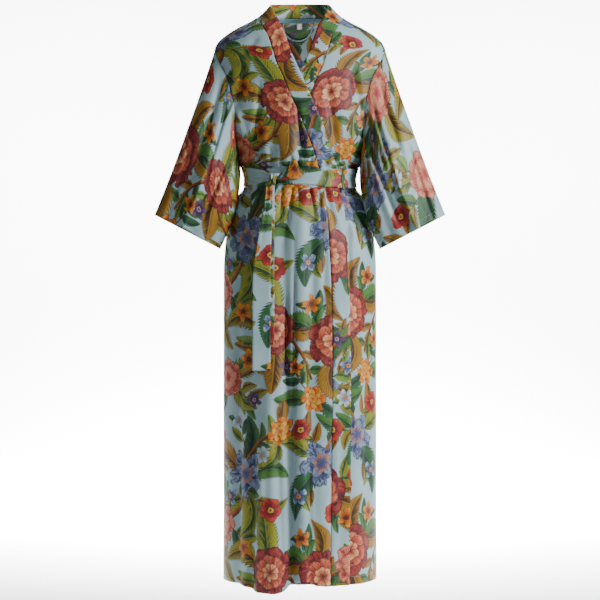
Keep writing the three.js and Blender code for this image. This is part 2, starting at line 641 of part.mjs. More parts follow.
// A belt loop is a narrow folded strip that stands over the belt from above to below
const beltLoops = [
  { name: "belt_loop_left", x: 96 },
  { name: "belt_loop_right", x: -119 },
];
const loopStrip = { width: 10, wall: 1.2, beyond: 5 };
function beltLoop(loop) {
  const rows = 10;
  const turn = turnAt(loop.x, beltMiddle);
  const sideways = halfAt(beltMiddle) * Math.sin(turn);
  const turnPerMm = 1 / Math.hypot(sideways, depthAt[front](beltMiddle) * Math.cos(turn));
  const top = beltTopAt(loop.x) + loopStrip.beyond;
  const foot = beltFootAt(loop.x) - loopStrip.beyond;
  const reach = (t) => {
    const overBelt = beltClear + foldedWall + 0.8;
    return wrapLift + loopStrip.wall + mix(0.7, overBelt, ease(Math.sin(Math.PI * t) / 0.2));
  };
  const at = (i, j, out) => {
    const t = j / rows;
    const z = mix(top, foot, t);
    return robePoint(turn + (i - 0.5) * loopStrip.width * turnPerMm, z, front, reach(t) - out, 0).setZ(z);
  };
  const point = (i, j) => at(i, j, 0);
  const inset = (i, j) => at(i, j, 0).sub(at(i, j, loopStrip.wall));
  return namedMesh(loop.name, wallGeometry(1, rows, point, inset), beltCloth);
}

// Inside the back of the neck: a woven tape along the seam, and under it a hanging loop and a blank label
const tape = { halfLength: 57, top: 1.5, foot: -7.5, wall: 0.9 };
function insideBack(x, z, inward) {
  const turn = turnAt(x, z);
  const normal = layerNormal(backLayer, back, turn, z);
  return backLayer(turn, z).sub(normal.multiplyScalar(clothWall + inward));
}
function neckTape() {
  const columns = 12;
  const clear = 1;
  const at = (i, j, inward) => {
    const x = mix(-tape.halfLength, tape.halfLength, i / columns);
    return insideBack(x, j ? tape.foot : tape.top, inward);
  };
  const point = (i, j) => at(i, j, clear);
  const inset = (i, j) => point(i, j).sub(at(i, j, clear + tape.wall));
  return namedMesh("neck_tape", wallGeometry(columns, 1, point, inset), tapeCloth);
}
const hanger = { left: -38, right: 28, drop: 37, width: 4, wall: 1.2 };
function hangingLoop() {
  const rows = 16;
  const path = (t, across) => {
    const a = Math.PI * t;
    const middle = (hanger.left + hanger.right) / 2;
    const reach = (hanger.right - hanger.left) / 2;
    const radial = 1 + across / reach;
    return {
      x: middle - reach * Math.cos(a) * radial,
      z: tape.foot - 0.6 - (hanger.drop + across) * Math.sin(a) ** 0.8,
    };
  };
  const at = (i, j, inward) => {
    const { x, z } = path(j / rows, i ? hanger.width : 0);
    return insideBack(x, z, inward);
  };
  const point = (i, j) => at(i, j, 1.2);
  const inset = (i, j) => point(i, j).sub(at(i, j, 1.2 + hanger.wall));
  return namedMesh("hanging_loop", wallGeometry(1, rows, point, inset), beltCloth);
}
const sizeLabel = { x: -1, halfWidth: 6, height: 13, wall: 0.5 };
function label() {
  const at = (i, j, inward) => {
    const x = sizeLabel.x + (i ? sizeLabel.halfWidth : -sizeLabel.halfWidth);
    return insideBack(x, tape.foot - 0.6 - (j ? sizeLabel.height : 0), inward);
  };
  const point = (i, j) => at(i, j, 0.6);
  const inset = (i, j) => point(i, j).sub(at(i, j, 0.6 + sizeLabel.wall));
  return namedMesh("size_label", wallGeometry(1, 1, point, inset), labelCloth);
}

const robe = new THREE.Group();
robe.add(rightFront(), leftFront(), backPanel());
robe.add(sleeve("sleeve_right", -1), sleeve("sleeve_left", 1));
robe.add(frontBand("neckband_right", outerLayer, -1, outerHemAt));
robe.add(frontBand("neckband_left", innerLayer, 1, levelDrop));
robe.add(collar(), beltWrap(), beltKnot(), beltEar());
robe.add(...beltEnds.map(beltEnd), ...beltLoops.map(beltLoop));
robe.add(neckTape(), hangingLoop(), label());

export default robe;
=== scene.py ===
import math
import bpy
import numpy as np
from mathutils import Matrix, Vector


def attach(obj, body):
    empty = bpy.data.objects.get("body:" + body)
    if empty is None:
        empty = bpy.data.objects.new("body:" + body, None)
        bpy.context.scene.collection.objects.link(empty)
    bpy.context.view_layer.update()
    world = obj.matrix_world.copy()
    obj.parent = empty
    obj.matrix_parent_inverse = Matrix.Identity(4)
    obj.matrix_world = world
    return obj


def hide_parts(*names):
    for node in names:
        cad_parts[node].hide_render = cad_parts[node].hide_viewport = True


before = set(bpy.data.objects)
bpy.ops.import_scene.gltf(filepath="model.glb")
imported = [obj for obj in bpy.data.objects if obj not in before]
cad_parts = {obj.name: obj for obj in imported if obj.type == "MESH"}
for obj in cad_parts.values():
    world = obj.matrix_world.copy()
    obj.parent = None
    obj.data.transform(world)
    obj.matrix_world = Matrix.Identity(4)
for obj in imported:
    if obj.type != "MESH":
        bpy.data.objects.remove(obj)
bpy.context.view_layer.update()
print("robe: frame loaded")

# Sizes are millimetres on the robe and become metres when a mesh is made. The front faces -Y.

cloth = {
    "wall": 1.4,  # printed cloth with its turned hem
    "foldedWall": 2.0,  # neckband and belt are double
    "foldedWidth": 42,
    "wrapLift": 3.6,  # outer front over the inner one
    "wrapRamp": 26,
    "wrapBeyond": 8,  # the lift reaches this far past the inner front's edge
    "foldFade": 34,
    "columnStep": 3.0,  # mesh spacing across
    "rowStep": 5.0,  # and down
    "foldGain": 1.2,  # the long folds
    "creaseGain": 2.7,  # all the small creases, deeper or softer
    "creaseStart": 0.3,  # share of its length over which a crease begins
    "creaseEnd": 0.35,
    "creaseKeep": 20,  # a crease that ends this near the hem runs on through it
    "seamDip": 0.4,  # panels sink this much into a seam
    "seamReach": 3.0,
    "seamGap": 0.25,  # half the gap between a panel and its band
    "sideGap": 0.2,  # and between front and back at the side
}
tiny = 1e-9


def rowsOf(names, *rows):
    # rows of values under their column names
    return [dict(zip(names.split(), row)) for row in rows]


# Sections of the worn robe, from the collar down to the hem
sections = rowsOf(
    "z half front back",
    (44, 63, 26, 55), (32, 70, 30, 57), (14, 86, 36, 60), (0, 102, 45, 63), (-12, 121, 58, 73),
    (-26, 149, 68, 81), (-48, 182, 79, 90), (-62, 196, 84, 94), (-78, 203, 90, 98),
    (-112, 211, 98, 104), (-152, 208, 105, 108), (-219, 200, 112, 108), (-285, 181, 116, 104),
    (-330, 155, 116, 100), (-352, 142, 111, 97), (-364, 135, 101, 93), (-386, 130, 97, 91),
    (-408, 134, 99, 93), (-424, 147, 105, 99), (-442, 157, 110, 105), (-470, 166, 115, 111),
    (-524, 175, 120, 117), (-600, 180, 123, 121), (-1350, 181, 128, 127),
)

frontEdge = rowsOf(
    "z seam free rise",
    (0, 102, 70, 32), (-6, 101, 66, 30), (-14, 97, 62, 28), (-26, 90, 56, 27), (-39, 83, 50, 27),
    (-52, 76, 43, 25), (-85, 65, 31, 24), (-117, 56, 19, 21), (-145, 43, 6, 19),
    (-185, 27, -12, 18), (-243, 0, -38, 18), (-300, -22, -60, 16), (-352, -40, -81, 10),
    (-386, -50, -91, 4), (-408, -55, -96, 0), (-450, -60, -101, 0), (-520, -66, -107, 0),
    (-700, -73, -114, 0), (-830, -74, -116, 0), (-1350, -71, -113, 0),
)

frontFolds = rowsOf(
    "top foot xTop xFoot dTop dFoot width",
    (-412, -1350, -44, -19, -3, -15, 15),  # beside the belt end
    (-412, -1350, -74, -58, 2, 10, 24), (-440, -1350, 26, 34, -6, -3, 14),
    (-412, -1350, 4, 8, 3, 4, 15), (-410, -900, -112, -120, -6, -2, 14),
    (-410, -560, -106, -150, -5, -2, 11),  # drag to the hip
    (-410, -560, 102, 152, -6, -2, 11), (-600, -1350, 128, 136, 2, 6, 20),
    (-820, -1350, 98, 90, -2, -6, 14),
    (-190, -362, -24, 10, -1, -6, 11),  # down the crossed front
    (-230, -362, -104, -98, -1, -5, 10), (-220, -362, -66, -62, -1, -4, 11),
    (-230, -362, 112, 101, -1, -5, 10), (-210, -362, 84, 74, -1, -3, 11),
    (-240, -362, -34, -28, 1, 4, 13),
)
backFolds = rowsOf(
    "top foot xTop xFoot dTop dFoot width",
    (-412, -1350, -96, -104, -4, -9, 17), (-412, -1350, -34, -42, -4, -13, 16),
    (-412, -1350, -62, -72, 2, 8, 20), (-412, -1350, 20, 16, 2, 7, 22),
    (-412, -1350, 52, 60, -5, -12, 16), (-412, -1350, 104, 112, -3, -6, 17),
    (-240, -362, -88, -78, -1, -6, 13), (-220, -362, -40, -30, -1, -5, 12),
    (-250, -362, 0, 4, 1, 5, 15), (-220, -362, 44, 36, -1, -5, 12),
    (-240, -362, 90, 82, -1, -6, 13),
)

# Creases are soft troughs (negative) or ridges between two points seen from the front
frontCreases = rowsOf(
    "x0 z0 x1 z1 depth width",
    (102, -410, 178, -522, -2.2, 5), (96, -412, 140, -560, 1.8, 9),
    (-118, -405, -160, -520, -2.0, 6), (-92, -150, -108, -340, -2.2, 7),
    (-100, -312, -98, -360, -2.4, 4), (-12, -190, 12, -358, -2.4, 5), (60, -150, 92, -350, -2.0, 8),
    (120, -120, 150, -250, -2.4, 9), (-130, -110, -156, -260, -2.4, 9),
    (-170, -150, -120, -330, 1.6, 8), (-92, -52, -150, -110, -1.6, 9),
    (92, -52, 150, -110, -1.6, 9), (-60, -180, -110, -250, -1.2, 8),
    (-30, -640, -34, -900, -3.0, 5), (-58, -850, -40, -1340, -3.2, 8),
    (-12, -470, -16, -1340, -2.2, 4), (18, -700, 22, -1340, -1.8, 6), (58, -500, 54, -760, -1.6, 8),
    (-140, -640, -146, -1340, -3.0, 11), (-104, -900, -112, -1340, -3.4, 9),
    (-84, -1000, -92, -1340, 2.6, 8), (150, -520, 158, -1200, -2.2, 9),
    (112, -440, 118, -700, -2.0, 6), (76, -900, 72, -1340, -2.0, 7),
)
backCreases = rowsOf(
    "x0 z0 x1 z1 depth width",
    (-120, -60, -160, -220, -2.4, 10), (120, -60, 160, -220, -2.4, 10),
    (-60, -120, -84, -350, -2.2, 9), (70, -140, 66, -350, -2.0, 8), (10, -180, -14, -356, -1.8, 8),
    (-110, -410, -160, -540, -2.2, 6), (112, -410, 158, -530, -2.2, 6),
    (-12, -430, -8, -1340, -3.0, 8), (82, -560, 88, -1340, 2.4, 9),
    (-130, -620, -138, -1340, -2.8, 10), (140, -700, 146, -1340, -2.6, 9),
    (34, -800, 36, -1340, -2.4, 6),
)

gathers = {
    "front": 13,  # how many small pleats the belt pulls in, above and below it
    "back": 12,
    "halfWidth": 118,
    "depth": 12.0,
    "width": 4.6,
    "start": 21,  # above or below the middle of the belt
    "fade": 8,
    "spread": 160,  # they are twice as wide this far from the belt
    "farthest": 200,
    "leanOver": 60,
    "pinch": 1.4,  # under 2 makes the valley of a pleat crisper
    "reachUp": 95,
    "reachDown": 190,
    "scatter": 4,
    "weakest": 0.45,
    "lean": 9,
    "fan": 0.2,
    "shortestUp": 0.35,
    "shortestDown": 0.3,
    "narrowest": 0.8,
    "widest": 1.5,
    "seed": 7,
}
innerFront = {
    "hiddenFrom": 14,  # it flattens from here under the outer front's edge
    "hiddenRamp": 34,
    "start": 22,  # above or below the middle of the belt
    "hangBelow": 22,  # hidden cloth stays this far behind the outer front
    "hangAbove": 9,
    "rampBelow": 240,
    "rampAbove": 60,
}

outerHem = rowsOf(
    "x drop",
    (-181, 0), (-150, -2), (-118, -8), (-100, -15), (-62, -17), (-40, -13), (-24, 2), (-8, 8),
    (24, 7), (36, 1), (80, -2), (114, -1),
)

hemLevel = -1332
hipLevel = -600
shoulderTip = -78
underarm = -352
armholeTurn = math.radians(40.5)
beltMiddle = -386
neckBackRise = 6
neckRiseStart = -20
neckRiseReach = 19


def curveThrough(rows, keyName, valueName):
    ordered = sorted(rows, key=lambda row: row[keyName])
    keys = np.array([row[keyName] for row in ordered], float)
    values = np.array([row[valueName] for row in ordered], float)
    slopes = np.diff(values) / np.diff(keys)
    tangents = np.zeros(len(keys))
    tangents[0], tangents[-1] = slopes[0], slopes[-1]
    product = slopes[:-1] * slopes[1:]
    total = np.where(product > 0, slopes[:-1] + slopes[1:], 1.0)
    tangents[1:-1] = np.where(product > 0, 2 * product / total, 0)

    def at(key):
        key = np.clip(np.asarray(key, float), keys[0], keys[-1])
        i = np.clip(np.searchsorted(keys, key, side="right") - 1, 0, len(keys) - 2)
        span = keys[i + 1] - keys[i]
        t = (key - keys[i]) / span
        t2, t3 = t * t, t * t * t
        return ((2 * t3 - 3 * t2 + 1) * values[i] + (t3 - 2 * t2 + t) * span * tangents[i]
                + (3 * t2 - 2 * t3) * values[i + 1] + (t3 - t2) * span * tangents[i + 1])
    return at


def mix(a, b, t):
    return a + (b - a) * t


def ease(t):
    t = np.clip(t, 0, 1)
    return t * t * (3 - 2 * t)


halfAt = curveThrough(sections, "z", "half")
frontDepthAt = curveThrough(sections, "z", "front")
backDepthAt = curveThrough(sections, "z", "back")
seamAt = curveThrough(frontEdge, "z", "seam")
freeAt = curveThrough(frontEdge, "z", "free")
riseAt = curveThrough(frontEdge, "z", "rise")
freeEdgeAt = curveThrough([dict(row, z=row["z"] + row["rise"]) for row in frontEdge], "z", "free")
outerHemAt = curveThrough(outerHem, "x", "drop")
front, back = -1, 1


def depthAt(side, z):
    return frontDepthAt(z) if side == front else backDepthAt(z)


def gatherRows(count, seed):
    rng = np.random.default_rng(seed)
    halfWidth, scatter = gathers["halfWidth"], gathers["scatter"]
    rows = []
    for spot in np.linspace(-halfWidth, halfWidth, count) + rng.uniform(-scatter, scatter, count):
        strength = rng.uniform(gathers["weakest"], 1.0)
        lean = rng.uniform(-gathers["lean"], gathers["lean"]) + spot * gathers["fan"]
        up = gathers["reachUp"] * rng.uniform(gathers["shortestUp"], 1.0)
        down = gathers["reachDown"] * rng.uniform(gathers["shortestDown"], 1.0)
        width = gathers["width"] * rng.uniform(gathers["narrowest"], gathers["widest"])
        depth = -gathers["depth"] * strength
        rows.append(dict(x=spot, lean=lean, up=up, down=down, depth=depth, width=width))
    return rows


gatherTable = {
    front: gatherRows(gathers["front"], gathers["seed"]),
    back: gatherRows(gathers["back"], gathers["seed"] + 1),
}


def foldDepth(x, z, side):
    total = np.zeros(np.broadcast(x, z).shape)
    for fold in frontFolds if side == front else backFolds:
        along = np.clip((z - fold["top"]) / (fold["foot"] - fold["top"]), 0, 1)
        fade = ease((fold["top"] - z) / cloth["foldFade"])
        if fold["foot"] > hemLevel:
            fade = fade * ease((z - fold["foot"]) / cloth["foldFade"])
        reach = (x - mix(fold["xTop"], fold["xFoot"], along)) / fold["width"]
        total = total + mix(fold["dTop"], fold["dFoot"], along) * np.exp(-reach * reach) * fade
    return total * cloth["foldGain"]


def gatherDepth(x, z, side):
    below = z < beltMiddle
    away = np.abs(z - beltMiddle) - gathers["start"]
    near = np.clip(away, 0, gathers["farthest"])
    total = 0
    for row in gatherTable[side]:
        reach = np.where(below, row["down"], row["up"])
        centre = row["x"] + row["lean"] * near / gathers["leanOver"]
        across = (x - centre) / row["width"] / (1 + near / gathers["spread"])
        fade = ease(away / gathers["fade"]) * ease((reach - away) / reach)
        total = total + row["depth"] * np.exp(-np.abs(across) ** gathers["pinch"]) * fade
    return total


def creaseDepth(x, z, side):
    total = np.zeros(np.broadcast(x, z).shape)
    for crease in frontCreases if side == front else backCreases:
        dx, dz = crease["x1"] - crease["x0"], crease["z1"] - crease["z0"]
        length = math.hypot(dx, dz)
        t = ((x - crease["x0"]) * dx + (z - crease["z0"]) * dz) / length ** 2
        across = ((x - crease["x0"]) * dz - (z - crease["z0"]) * dx) / length / crease["width"]
        fade = ease(t / cloth["creaseStart"])
        if crease["z1"] > hemLevel + cloth["creaseKeep"]:
            fade = fade * ease((1 - t) / cloth["creaseEnd"])
        total = total + cloth["creaseGain"] * crease["depth"] * np.exp(-across * across) * fade
    return total + gatherDepth(x, z, side)


def robePoint(turn, z, side, out=0.0, foldShare=1.0, creaseShare=1.0):
    turn, z = np.broadcast_arrays(np.asarray(turn, float), np.asarray(z, float))
    half, depth = halfAt(z), depthAt(side, z)
    x, y = half * np.cos(turn), side * depth * np.sin(turn)
    outX, outY = np.cos(turn) / half, side * np.sin(turn) / depth
    size = np.hypot(outX, outY)
    push = out + foldShare * foldDepth(x, z, side)
    if creaseShare > 0:
        push = push + creaseShare * creaseDepth(x, z, side)
    return np.stack([x + outX / size * push, y + outY / size * push, z], axis=-1)


def turnAt(x, z):
    return np.arccos(np.clip(x / halfAt(z), -1, 1))


def armholeLevel(ringTurn):
    return mix(underarm, shoulderTip, (1 - np.cos(ringTurn)) / 2)


def armholeEdge(z):
    t = np.clip((z - underarm) / (shoulderTip - underarm), 0, 1)
    return armholeTurn * 2 * np.sqrt(t * (1 - t))


def outerLift(x, z):
    covered = x - freeEdgeAt(z) + cloth["wrapBeyond"] + cloth["wrapRamp"]
    return cloth["wrapLift"] * ease(covered / cloth["wrapRamp"])


def hiddenShare(x, z):
    return ease((-freeEdgeAt(z) - innerFront["hiddenFrom"] - x) / innerFront["hiddenRamp"])


def innerHang(x, z):
    below = z < beltMiddle
    fromBelt = np.abs(z - beltMiddle) - innerFront["start"]
    full = np.where(below, innerFront["hangBelow"], innerFront["hangAbove"])
    ramp = np.where(below, innerFront["rampBelow"], innerFront["rampAbove"])
    return -hiddenShare(x, z) * full * ease(fromBelt / ramp)


def outerLayer(turn, z, out=0.0, creaseShare=1.0):
    return robePoint(turn, z, front, outerLift(halfAt(z) * np.cos(turn), z) + out, 1.0, creaseShare)


def innerLayer(turn, z, out=0.0, creaseShare=1.0):
    x = halfAt(z) * np.cos(turn)
    return robePoint(turn, z, front, innerHang(x, z) + out, 1 - hiddenShare(x, z), creaseShare)


def backLayer(turn, z, out=0.0, creaseShare=1.0):
    return robePoint(turn, z, back, out, 1.0, creaseShare)


def hemmed(z, drop):
    return np.where(z > hipLevel, z, z + drop * (z - hipLevel) / (hemLevel - hipLevel))


# Cloth walls

def gridNormals(grid, closed=False):
    if closed:
        wide = np.concatenate([grid[:, -1:], grid, grid[:, :1]], axis=1)
        across = wide[:, 2:] - wide[:, :-2]
    else:
        across = np.gradient(grid, axis=1)
    normal = np.cross(across, np.gradient(grid, axis=0))
    return normal / np.maximum(np.linalg.norm(normal, axis=-1, keepdims=True), tiny)


def normalsFacing(grid, side):
    # the normals of a piece, all turned to the front or the back
    normal = gridNormals(grid)
    return normal if side * normal[..., 1].sum() > 0 else -normal


def levelled(normal, end):
    # the normals at one end of a strip, laid flat so that the end is cut straight
    normal[end, :, 1] = 0
    normal[end] /= np.linalg.norm(normal[end], axis=-1, keepdims=True)


def shares(rows, columns):
    # the shares of the way down and across a grid
    down = np.linspace(0, 1, rows + 1)[:, None]
    across = np.linspace(0, 1, columns + 1)[None, :]
    return np.broadcast_arrays(down, across)


def roll(share, reach):
    # a bell at the starting edge of a folded strip, as wide as reach in mm
    return np.exp(-(share * cloth["foldedWidth"] / reach) ** 2)


def arcUv(grid, grainColumn, closed=False):
    # cloth coordinates in mm: across from the grain column, and down it
    if closed:
        grid = np.concatenate([grid, grid[:, :1]], axis=1)
    across = np.cumsum(np.linalg.norm(np.diff(grid, axis=1), axis=-1), axis=1)
    across = np.concatenate([np.zeros((grid.shape[0], 1)), across], axis=1)
    across = across - across[:, grainColumn:grainColumn + 1]
    down = np.cumsum(np.linalg.norm(np.diff(grid[:, grainColumn], axis=0), axis=-1))
    down = np.concatenate([[0], down])
    return np.stack([across, np.broadcast_to(-down[:, None], across.shape)], axis=-1)


def clothWall(name, outer, thickness, uv, closed=False, inward=None):
    # a closed wall from a grid of outer points, with smooth faces and flat rims
    rows, wide = outer.shape[0] - 1, outer.shape[1]
    columns = wide if closed else wide - 1
    normal = gridNormals(outer, closed) if inward is None else inward
    inner = outer - normal * thickness
    verts = np.concatenate([outer.reshape(-1, 3), inner.reshape(-1, 3)])
    layerSize = (rows + 1) * wide

    def corner(ci, cj, layer):
        return np.stack([layer * layerSize + cj * wide + ci % wide, cj * (columns + 1) + ci], axis=-1)

    def quads(*corners):
        return np.stack([corner(*place) for place in corners], axis=1)

    j, i = np.meshgrid(np.arange(rows), np.arange(columns), indexing="ij")
    i, j = i.ravel(), j.ravel()
    blocks = [quads((i, j, 0), (i + 1, j, 0), (i + 1, j + 1, 0), (i, j + 1, 0)),
              quads((i, j, 1), (i, j + 1, 1), (i + 1, j + 1, 1), (i + 1, j, 1))]
    smooth = 2 * len(i)
    if not closed:
        e = np.arange(rows)
        z, w = 0 * e, 0 * e + columns
        blocks += [quads((z, e, 0), (z, e + 1, 0), (z, e + 1, 1), (z, e, 1)),
                   quads((w, e, 0), (w, e, 1), (w, e + 1, 1), (w, e + 1, 0))]
    e = np.arange(columns)
    z, w = 0 * e, 0 * e + rows
    blocks += [quads((e, z, 0), (e, z, 1), (e + 1, z, 1), (e + 1, z, 0)),
               quads((e, w, 0), (e + 1, w, 0), (e + 1, w, 1), (e, w, 1))]
    faces = np.concatenate(blocks)
    a, b, c, d = (verts[faces[:, k, 0]] for k in range(4))
    volume = (np.einsum("ij,ij->i", a, np.cross(b, c)) + np.einsum("ij,ij->i", a, np.cross(c, d))).sum()
    if volume < 0:
        faces = faces[:, ::-1]
    cornerUv = uv.reshape(-1, 2)[faces[:, :, 1]]
    return makeMesh(name, verts / 1000, faces[:, :, 0], cornerUv, smooth)


def makeMesh(name, verts, faces, cornerUv, smoothCount):
    mesh = bpy.data.meshes.new(name)
    mesh.vertices.add(len(verts))
    mesh.vertices.foreach_set("co", verts.astype(np.float32).ravel())
    mesh.loops.add(faces.size)
    mesh.loops.foreach_set("vertex_index", faces.astype(np.int32).ravel())
    mesh.polygons.add(len(faces))
    mesh.polygons.foreach_set("loop_start", np.arange(0, faces.size, 4, dtype=np.int32))
    mesh.polygons.foreach_set("use_smooth", np.arange(len(faces)) < smoothCount)
    mesh.update(calc_edges=True)
    uvLayer = mesh.uv_layers.new(name="cloth")
    uvLayer.data.foreach_set("uv", (cornerUv / 1000).astype(np.float32).ravel())
    obj = bpy.data.objects.new(name, mesh)
    bpy.context.scene.collection.objects.link(obj)
    return obj


# The print: flowers, leaves and stems on a repeat, worked out in the cloth's own millimetres

printRepeat = {
    "width": 430.0,
    "height": 552.0,
    "drop": 276.0,
    "seedAcross": 7.3,  # brush strokes differ from one repeat to the next
    "seedDown": 3.1,
}

flowerKinds = {
    "coral": dict(petals=7, scallop=0.16, point=0.5, rim="#8A3127", mid="#4C0B1A", deep="#240510",
                  inner="#BE6C48", heart="#C2A974"),
    "rose": dict(petals=8, scallop=0.22, point=0.45, rim="#BC8265", mid="#8C2529", deep="#520A19",
                 inner="#A3463A", heart="#C89C79"),
    "iris": dict(petals=5, scallop=0.52, point=1.4, rim="#728296", mid="#333E60", deep="#1A1533",
                 inner="#4E4D72", heart="#BB7C1B"),
    "ochre": dict(petals=6, scallop=0.34, point=0.9, rim="#BE811D", mid="#973A12", deep="#51130C",
                  inner="#C1953D", heart="#692013"),
}
bigFlowers = rowsOf(
    "kind x y size turn",
    ("coral", 101, 430, 66, 0.2), ("iris", 296, 396, 62, 0.9), ("rose", 202, 269, 58, 0.1),
    ("coral", 376, 181, 60, 1.3), ("iris", 81, 144, 60, 2.2), ("rose", 232, 64, 50, 0.7),
    ("ochre", 393, 501, 36, 0.4), ("ochre", 47, 292, 34, 1.1),
)
smallKinds = {
    "pansy": dict(petals=5, scallop=0.22, point=0.5, rim="#AA3F25", mid="#771116", deep="#390811",
                  heart="#C1952F"),
    "star": dict(petals=5, scallop=0.52, point=1.3, rim="#C0861D", mid="#A55711", deep="#5B1D0B",
                 heart="#3B160C"),
    "bell": dict(petals=4, scallop=0.55, point=1.6, rim="#99A8B3", mid="#41567C", deep="#202543",
                 heart="#BB7619"),
    "daisy": dict(petals=6, scallop=0.48, point=1.0, rim="#BEC2BD", mid="#8298A7", deep="#475F78",
                  heart="#AD6C11"),
    "plum": dict(petals=5, scallop=0.5, point=1.7, rim="#5E4C69", mid="#34253E", deep="#1E132B",
                 heart="#906C84"),
}
smallFlowers = rowsOf(
    "kind x y size turn",
    ("pansy", 192, 474, 29, 0.3), ("star", 168, 376, 27, 0.0), ("bell", 242, 336, 26, 0.5),
    ("pansy", 376, 323, 30, 1.0), ("daisy", 349, 447, 23, 0.2), ("star", 289, 222, 28, 0.8),
    ("plum", 121, 237, 24, 0.1), ("pansy", 20, 218, 28, 0.6), ("bell", 153, 176, 24, 1.4),
    ("star", 306, 111, 29, 0.4), ("daisy", 149, 101, 24, 0.9), ("plum", 410, 94, 26, 0.2),
    ("pansy", 121, 27, 30, 0.1), ("bell", 27, 60, 26, 0.7), ("star", 40, 514, 27, 0.5),
    ("daisy", 269, 517, 22, 0.3), ("plum", 323, 20, 22, 0.9), ("star", 7, 366, 24, 0.1),
)
leafTones = [
    dict(light="#7C7E1E", dark="#16381C"),
    dict(light="#3F6A28", dark="#0C2A20"),
    dict(light="#8B6516", dark="#33210C"),
    dict(light="#26542C", dark="#0A231E"),
    dict(light="#7F7A22", dark="#42200B"),
    dict(light="#67842D", dark="#1C4021"),
]
leaves = {
    "perFlower": 4,  # big leaves that spring from behind each big flower
    "largeFlower": 40,  # a flower under this has two leaves, and smaller ones
    "smaller": 0.75,
    "length": 55,
    "sizes": (0.8, 1.15),
    "scatter": 0.3,
    "behind": 0.8,  # share of the flower's radius at which a leaf starts
    "reach": 0.72,
    "bend": 0.65,
    "slimness": 2.4,
    "perStem": 4,  # smaller ones along the stems
    "stemLength": 40,
    "stemSizes": (0.55, 0.85),
    "stemSpan": (0.5, 0.86),
    "stemScatter": 0.03,
    "stemAngles": (0.6, 1.0),
    "stemReach": 0.95,
    "stemBend": 0.3,
    "seed": 12,
}
stems = rowsOf(
    "x0 y0 x1 y1 sag half kind",
    (101, 430, 192, 474, 12, 1.6, 0), (101, 430, 168, 376, -11, 1.6, 1),
    (101, 430, 40, 514, 11, 1.8, 0), (202, 269, 168, 376, -17, 2.0, 1),
    (202, 269, 242, 336, 9, 1.5, 2), (202, 269, 289, 222, 13, 1.7, 1),
    (202, 269, 121, 237, 12, 1.6, 0), (296, 396, 376, 323, -15, 1.7, 0),
    (296, 396, 349, 447, 8, 1.4, 1), (376, 181, 306, 111, -15, 1.7, 1),
    (376, 181, 410, 94, 9, 1.6, 2), (81, 144, 153, 176, -9, 1.5, 0),
    (81, 144, 20, 218, -12, 1.6, 1), (81, 144, 27, 60, 13, 1.6, 2),
    (232, 64, 149, 101, -11, 1.5, 1), (232, 64, 121, 27, 15, 1.7, 0),
    (232, 64, 323, 20, -11, 1.5, 0), (296, 396, 269, 517, -13, 1.6, 1),
    (47, 292, 7, 366, 9, 1.5, 1), (81, 144, 202, 269, 28, 6.0, 3),
    (202, 269, 296, 396, -30, 6.5, 3), (296, 396, 393, 501, 24, 5.0, 3),
    (232, 64, 376, 181, -35, 6.0, 3), (376, 181, 477, 60, 23, 4.5, 3),
)
stemTones = [
    dict(light="#415F26", dark="#172D1C"),
    dict(light="#69441E", dark="#2E1A0C"),
    dict(light="#31362B", dark="#161D19"),
    dict(light="#844F1D", dark="#3B1A08"),
]


stemMargin = 3
farPastEnd = 400


def linear(hexColour):
    out = []
    for k in (1, 3, 5):
        c = int(hexColour[k:k + 2], 16) / 255
        out.append(c / 12.92 if c <= 0.04045 else ((c + 0.055) / 1.055) ** 2.4)
    return (*out, 1.0)


def repeatCopies(x, y, low, high, margin):
    # where the repeat puts one motif within a piece's extent
    places = []
    w, h, drop = printRepeat["width"], printRepeat["height"], printRepeat["drop"]
    for a in range(int((low[0] - x - margin) // w), int((high[0] - x + margin) // w) + 2):
        shift = drop if a % 2 else 0
        for b in range(int((low[1] - y - shift - margin) // h), int((high[1] - y - shift + margin) // h) + 2):
            px, py = x + a * w, y + b * h + shift
            if low[0] - margin < px < high[0] + margin and low[1] - margin < py < high[1] + margin:
                places.append((px, py, a, b))
    return places


def flowerLeaves(rng):
    # big leaves all round each big flower
    rows = []
    for flower in bigFlowers:
        large = flower["size"] > leaves["largeFlower"]
        count = leaves["perFlower"] if large else 2
        first = rng.uniform(0, 2 * math.pi)
        for k in range(count):
            angle = first + 2 * math.pi * k / count + rng.uniform(-leaves["scatter"], leaves["scatter"])
            size = leaves["length"] * rng.uniform(*leaves["sizes"]) * (1 if large else leaves["smaller"])
            away = flower["size"] * leaves["behind"] + size * leaves["reach"]
            bend = rng.uniform(-leaves["bend"], leaves["bend"])
            rows.append(dict(x=flower["x"] + away * math.cos(angle), y=flower["y"] + away * math.sin(angle),
                             size=size, turn=angle, bend=bend, kind=int(rng.integers(0, 5))))
    return rows


def stemLeaves(rng):
    # smaller leaves by turns on both sides of each stem
    rows = []
    for stem in stems:
        dx, dy = stem["x1"] - stem["x0"], stem["y1"] - stem["y0"]
        length = math.hypot(dx, dy)
        for k in range(leaves["perStem"]):
            t = mix(*leaves["stemSpan"], k / max(1, leaves["perStem"] - 1))
            t = t + rng.uniform(-leaves["stemScatter"], leaves["stemScatter"])
            hand = 1 if k % 2 else -1
            bulge = 4 * t * (1 - t) * stem["sag"] / length
            angle = math.atan2(dy, dx) + hand * rng.uniform(*leaves["stemAngles"])
            size = leaves["stemLength"] * rng.uniform(*leaves["stemSizes"])
            bend = rng.uniform(-leaves["stemBend"], leaves["stemBend"])
            away = size * leaves["stemReach"]
            rows.append(dict(x=stem["x0"] + dx * t - dy * bulge + away * math.cos(angle),
                             y=stem["y0"] + dy * t + dx * bulge + away * math.sin(angle),
                             size=size, turn=angle, bend=bend, kind=int(rng.integers(0, 6))))
    return rows


